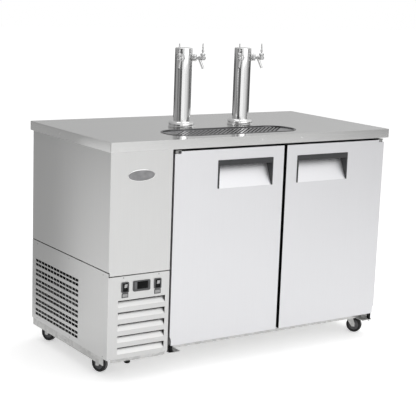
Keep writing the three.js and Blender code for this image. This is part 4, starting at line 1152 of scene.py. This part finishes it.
def make_floor():
    """A pale floor that glows a little to the camera, so that it meets the white background."""
    look = Look("studio floor", (0.97, 0.97, 0.97), 0.9)
    seen = look.node("ShaderNodeLightPath", output="Is Camera Ray")
    reflected = look.node("ShaderNodeLightPath", output="Is Glossy Ray")
    look.set("Emission Color", (1, 1, 1, 1))
    look.set("Emission Strength", seen * FLOOR_GLOW + reflected * FLOOR_GLOW_IN_METAL)
    look.set("Specular IOR Level", 0.0)
    shape = bmesh.new()
    bmesh.ops.create_grid(shape, x_segments=1, y_segments=1, size=FLOOR_REACH)
    add_stage(shape, "floor", look.material)


def add_stage(shape, name, material):
    mesh = bpy.data.meshes.new(name)
    shape.to_mesh(mesh)
    shape.free()
    mesh.materials.append(material)
    made = bpy.data.objects.new(name, mesh)
    bpy.context.scene.collection.objects.link(made)
    return made


# From and to, in degrees to the right of the camera as seen from the object, then distance,
# bottom, top and shade
CARDS = (
    (-180, -140, 5.0, 0.33, 1.2, 0.34),
    (-140, -104, 5.0, 0.33, 1.4, 0.36),
    (-104, -70, 5.0, 0.33, 2.2, 0.60),
    (-70, -54, 5.0, 0.33, 2.2, 0.45),
    (-54, -40, 5.0, 0.33, 2.2, 0.57),
    (-40, -12, 5.0, 0.33, 2.2, 0.37),
    (-12, 30, 4.0, 0.42, 1.5, 0.99),
    (30, 56, 4.0, 0.42, 1.5, 0.90),
    (56, 74, 4.0, 0.42, 1.5, 0.81),
    (74, 90, 5.0, 0.33, 2.2, 0.66),
    (90, 106, 5.0, 0.33, 2.2, 0.48),
    (106, 140, 5.0, 0.33, 1.4, 0.30),
    (140, 180, 5.0, 0.33, 1.2, 0.30),
)
CARD_THICKNESS = 0.01
# A grey flag behind the object's left side: its plane, its ends, its foot, its height and shade
FLAG_X, FLAG_START, FLAG_END = -0.95, 0.32, 2.2
FLAG_FOOT, FLAG_HEIGHT, FLAG_SHADE = 0.01, 0.95, 0.66


def add_card(shape, name, shade):
    """A card that only reflections see, as bright as its shade."""
    look = Look(name, (0, 0, 0), 1.0)
    look.set("Specular IOR Level", 0.0)
    look.set("Emission Color", light_of((shade, shade, shade)))
    look.set("Emission Strength", 1.0)
    card = add_stage(shape, name, look.material)
    card.visible_camera = False
    card.visible_diffuse = False
    card.visible_shadow = False
    card.visible_transmission = False


def make_cards():
    """Grey and dark cards round the object's sides and back, for the metal to reflect."""
    half = CARD_THICKNESS / 2
    toward_camera = math.radians(CAMERA_AZIMUTH + 180)
    for index, (first, last, distance, low, high, shade) in enumerate(CARDS):
        width = 2 * distance * math.tan(math.radians(last - first) / 2)
        azimuth = toward_camera - math.radians((first + last) / 2)
        shape = boxed((-width / 2, -half, low), (width / 2, half, high))
        place = Matrix.Rotation(-azimuth, 4, "Z") @ shift(0, distance, 0)
        add_card(moved(shape, place), f"card_{index + 1}", shade)
    flag = boxed((FLAG_X - half, FLAG_START, FLAG_FOOT), (FLAG_X, FLAG_END, FLAG_HEIGHT))
    add_card(flag, "side_flag", FLAG_SHADE)


def add_lamp(name, place, target, width, height, power):
    lamp = bpy.data.lights.new(name, "AREA")
    lamp.shape = "RECTANGLE"
    lamp.size, lamp.size_y, lamp.energy = width, height, power
    made = bpy.data.objects.new(name, lamp)
    made.location = place
    made.rotation_mode = "QUATERNION"
    made.rotation_quaternion = (Vector(target) - Vector(place)).to_track_quat("-Z", "Y")
    bpy.context.scene.collection.objects.link(made)


def make_lamps():
    centre = (0, 0, 0.6)
    add_lamp("front softbox", (0.4, -4.6, 2.1), centre, 4.2, 2.8, 38)
    add_lamp("overhead softbox", (0.6, 0.6, 4.4), centre, 3.0, 3.0, 40)


def make_stage():
    make_camera()
    make_world()
    make_floor()
    make_cards()
    make_lamps()
    bpy.context.scene.view_settings.view_transform = "Standard"


# Operators, the panel and registration

class KegeratorStep:
    """What every step's operator shares."""

    bl_options = {"REGISTER", "UNDO"}

    def sizes(self, context):
        return context.scene.kegerator_sizes


class KEGERATOR_OT_materials(KegeratorStep, bpy.types.Operator):
    """Makes every finish from the panel's colours"""

    bl_idname = "kegerator.materials"
    bl_label = "Finishes"

    def execute(self, context):
        make_materials(context.scene.kegerator_colours)
        return {"FINISHED"}


class KEGERATOR_OT_stage(KegeratorStep, bpy.types.Operator):
    """Sets up the camera, the floor, the background and the lamps"""

    bl_idname = "kegerator.stage"
    bl_label = "Studio"

    def execute(self, context):
        make_stage()
        return {"FINISHED"}


class KEGERATOR_OT_worktop(KegeratorStep, bpy.types.Operator):
    """Makes the worktop, the drip tray and the screws along its edge"""

    bl_idname = "kegerator.worktop"
    bl_label = "Worktop and drip tray"

    def execute(self, context):
        make_worktop(self.sizes(context))
        return {"FINISHED"}


class KEGERATOR_OT_cabinet(KegeratorStep, bpy.types.Operator):
    """Makes the insulated cabinet, its lining and the beer lines"""

    bl_idname = "kegerator.cabinet"
    bl_label = "Cabinet"

    def execute(self, context):
        make_cabinet()
        return {"FINISHED"}


class KEGERATOR_OT_bay(KegeratorStep, bpy.types.Operator):
    """Makes the machine bay's panels, vents, base and screws"""

    bl_idname = "kegerator.bay"
    bl_label = "Machine bay"

    def execute(self, context):
        make_bay(self.sizes(context))
        return {"FINISHED"}


class KEGERATOR_OT_badge(KegeratorStep, bpy.types.Operator):
    """Makes the bare oval badge"""

    bl_idname = "kegerator.badge"
    bl_label = "Badge"

    def execute(self, context):
        make_badge(self.sizes(context))
        return {"FINISHED"}


class KEGERATOR_OT_controls(KegeratorStep, bpy.types.Operator):
    """Makes the two switches, their label plates and the thermostat"""

    bl_idname = "kegerator.controls"
    bl_label = "Controls"

    def execute(self, context):
        make_controls()
        return {"FINISHED"}


class KEGERATOR_OT_doors(KegeratorStep, bpy.types.Operator):
    """Makes the two doors with their handles, gaskets and hinges"""

    bl_idname = "kegerator.doors"
    bl_label = "Doors"

    def execute(self, context):
        make_doors(self.sizes(context))
        return {"FINISHED"}


class KEGERATOR_OT_columns(KegeratorStep, bpy.types.Operator):
    """Makes the two beer columns with their flanges, taps and levers"""

    bl_idname = "kegerator.columns"
    bl_label = "Columns and taps"

    def execute(self, context):
        make_columns()
        return {"FINISHED"}


class KEGERATOR_OT_casters(KegeratorStep, bpy.types.Operator):
    """Makes the four casters"""

    bl_idname = "kegerator.casters"
    bl_label = "Casters"

    def execute(self, context):
        make_casters()
        return {"FINISHED"}


class KEGERATOR_OT_cooling(KegeratorStep, bpy.types.Operator):
    """Makes the compressor, condenser, evaporator and fans"""

    bl_idname = "kegerator.cooling"
    bl_label = "Cooling machinery"

    def execute(self, context):
        make_cooling()
        return {"FINISHED"}


STEPS = (
    KEGERATOR_OT_materials,
    KEGERATOR_OT_stage,
    KEGERATOR_OT_worktop,
    KEGERATOR_OT_cabinet,
    KEGERATOR_OT_bay,
    KEGERATOR_OT_badge,
    KEGERATOR_OT_controls,
    KEGERATOR_OT_doors,
    KEGERATOR_OT_columns,
    KEGERATOR_OT_casters,
    KEGERATOR_OT_cooling,
)


class KEGERATOR_PT_panel(bpy.types.Panel):
    """Lists the steps and the sizes and colours that they use"""

    bl_idname = "KEGERATOR_PT_panel"
    bl_label = "Kegerator"
    bl_space_type = "VIEW_3D"
    bl_region_type = "UI"
    bl_category = "Kegerator"

    def draw(self, context):
        for group in (context.scene.kegerator_sizes, context.scene.kegerator_colours):
            box = self.layout.box()
            for name in group.bl_rna.properties.keys():
                if name not in ("rna_type", "name"):
                    box.prop(group, name)
        for step in STEPS:
            self.layout.operator(step.bl_idname)


CLASSES = (KegeratorSizes, KegeratorColours, *STEPS, KEGERATOR_PT_panel)


def register():
    for each in CLASSES:
        bpy.utils.register_class(each)
    bpy.types.Scene.kegerator_sizes = PointerProperty(type=KegeratorSizes)
    bpy.types.Scene.kegerator_colours = PointerProperty(type=KegeratorColours)


def unregister():
    del bpy.types.Scene.kegerator_colours
    del bpy.types.Scene.kegerator_sizes
    for each in reversed(CLASSES):
        bpy.utils.unregister_class(each)


def main():
    register()
    for step in STEPS:
        group, name = step.bl_idname.split(".")
        getattr(getattr(bpy.ops, group), name)()


if __name__ == "__main__":
    main()
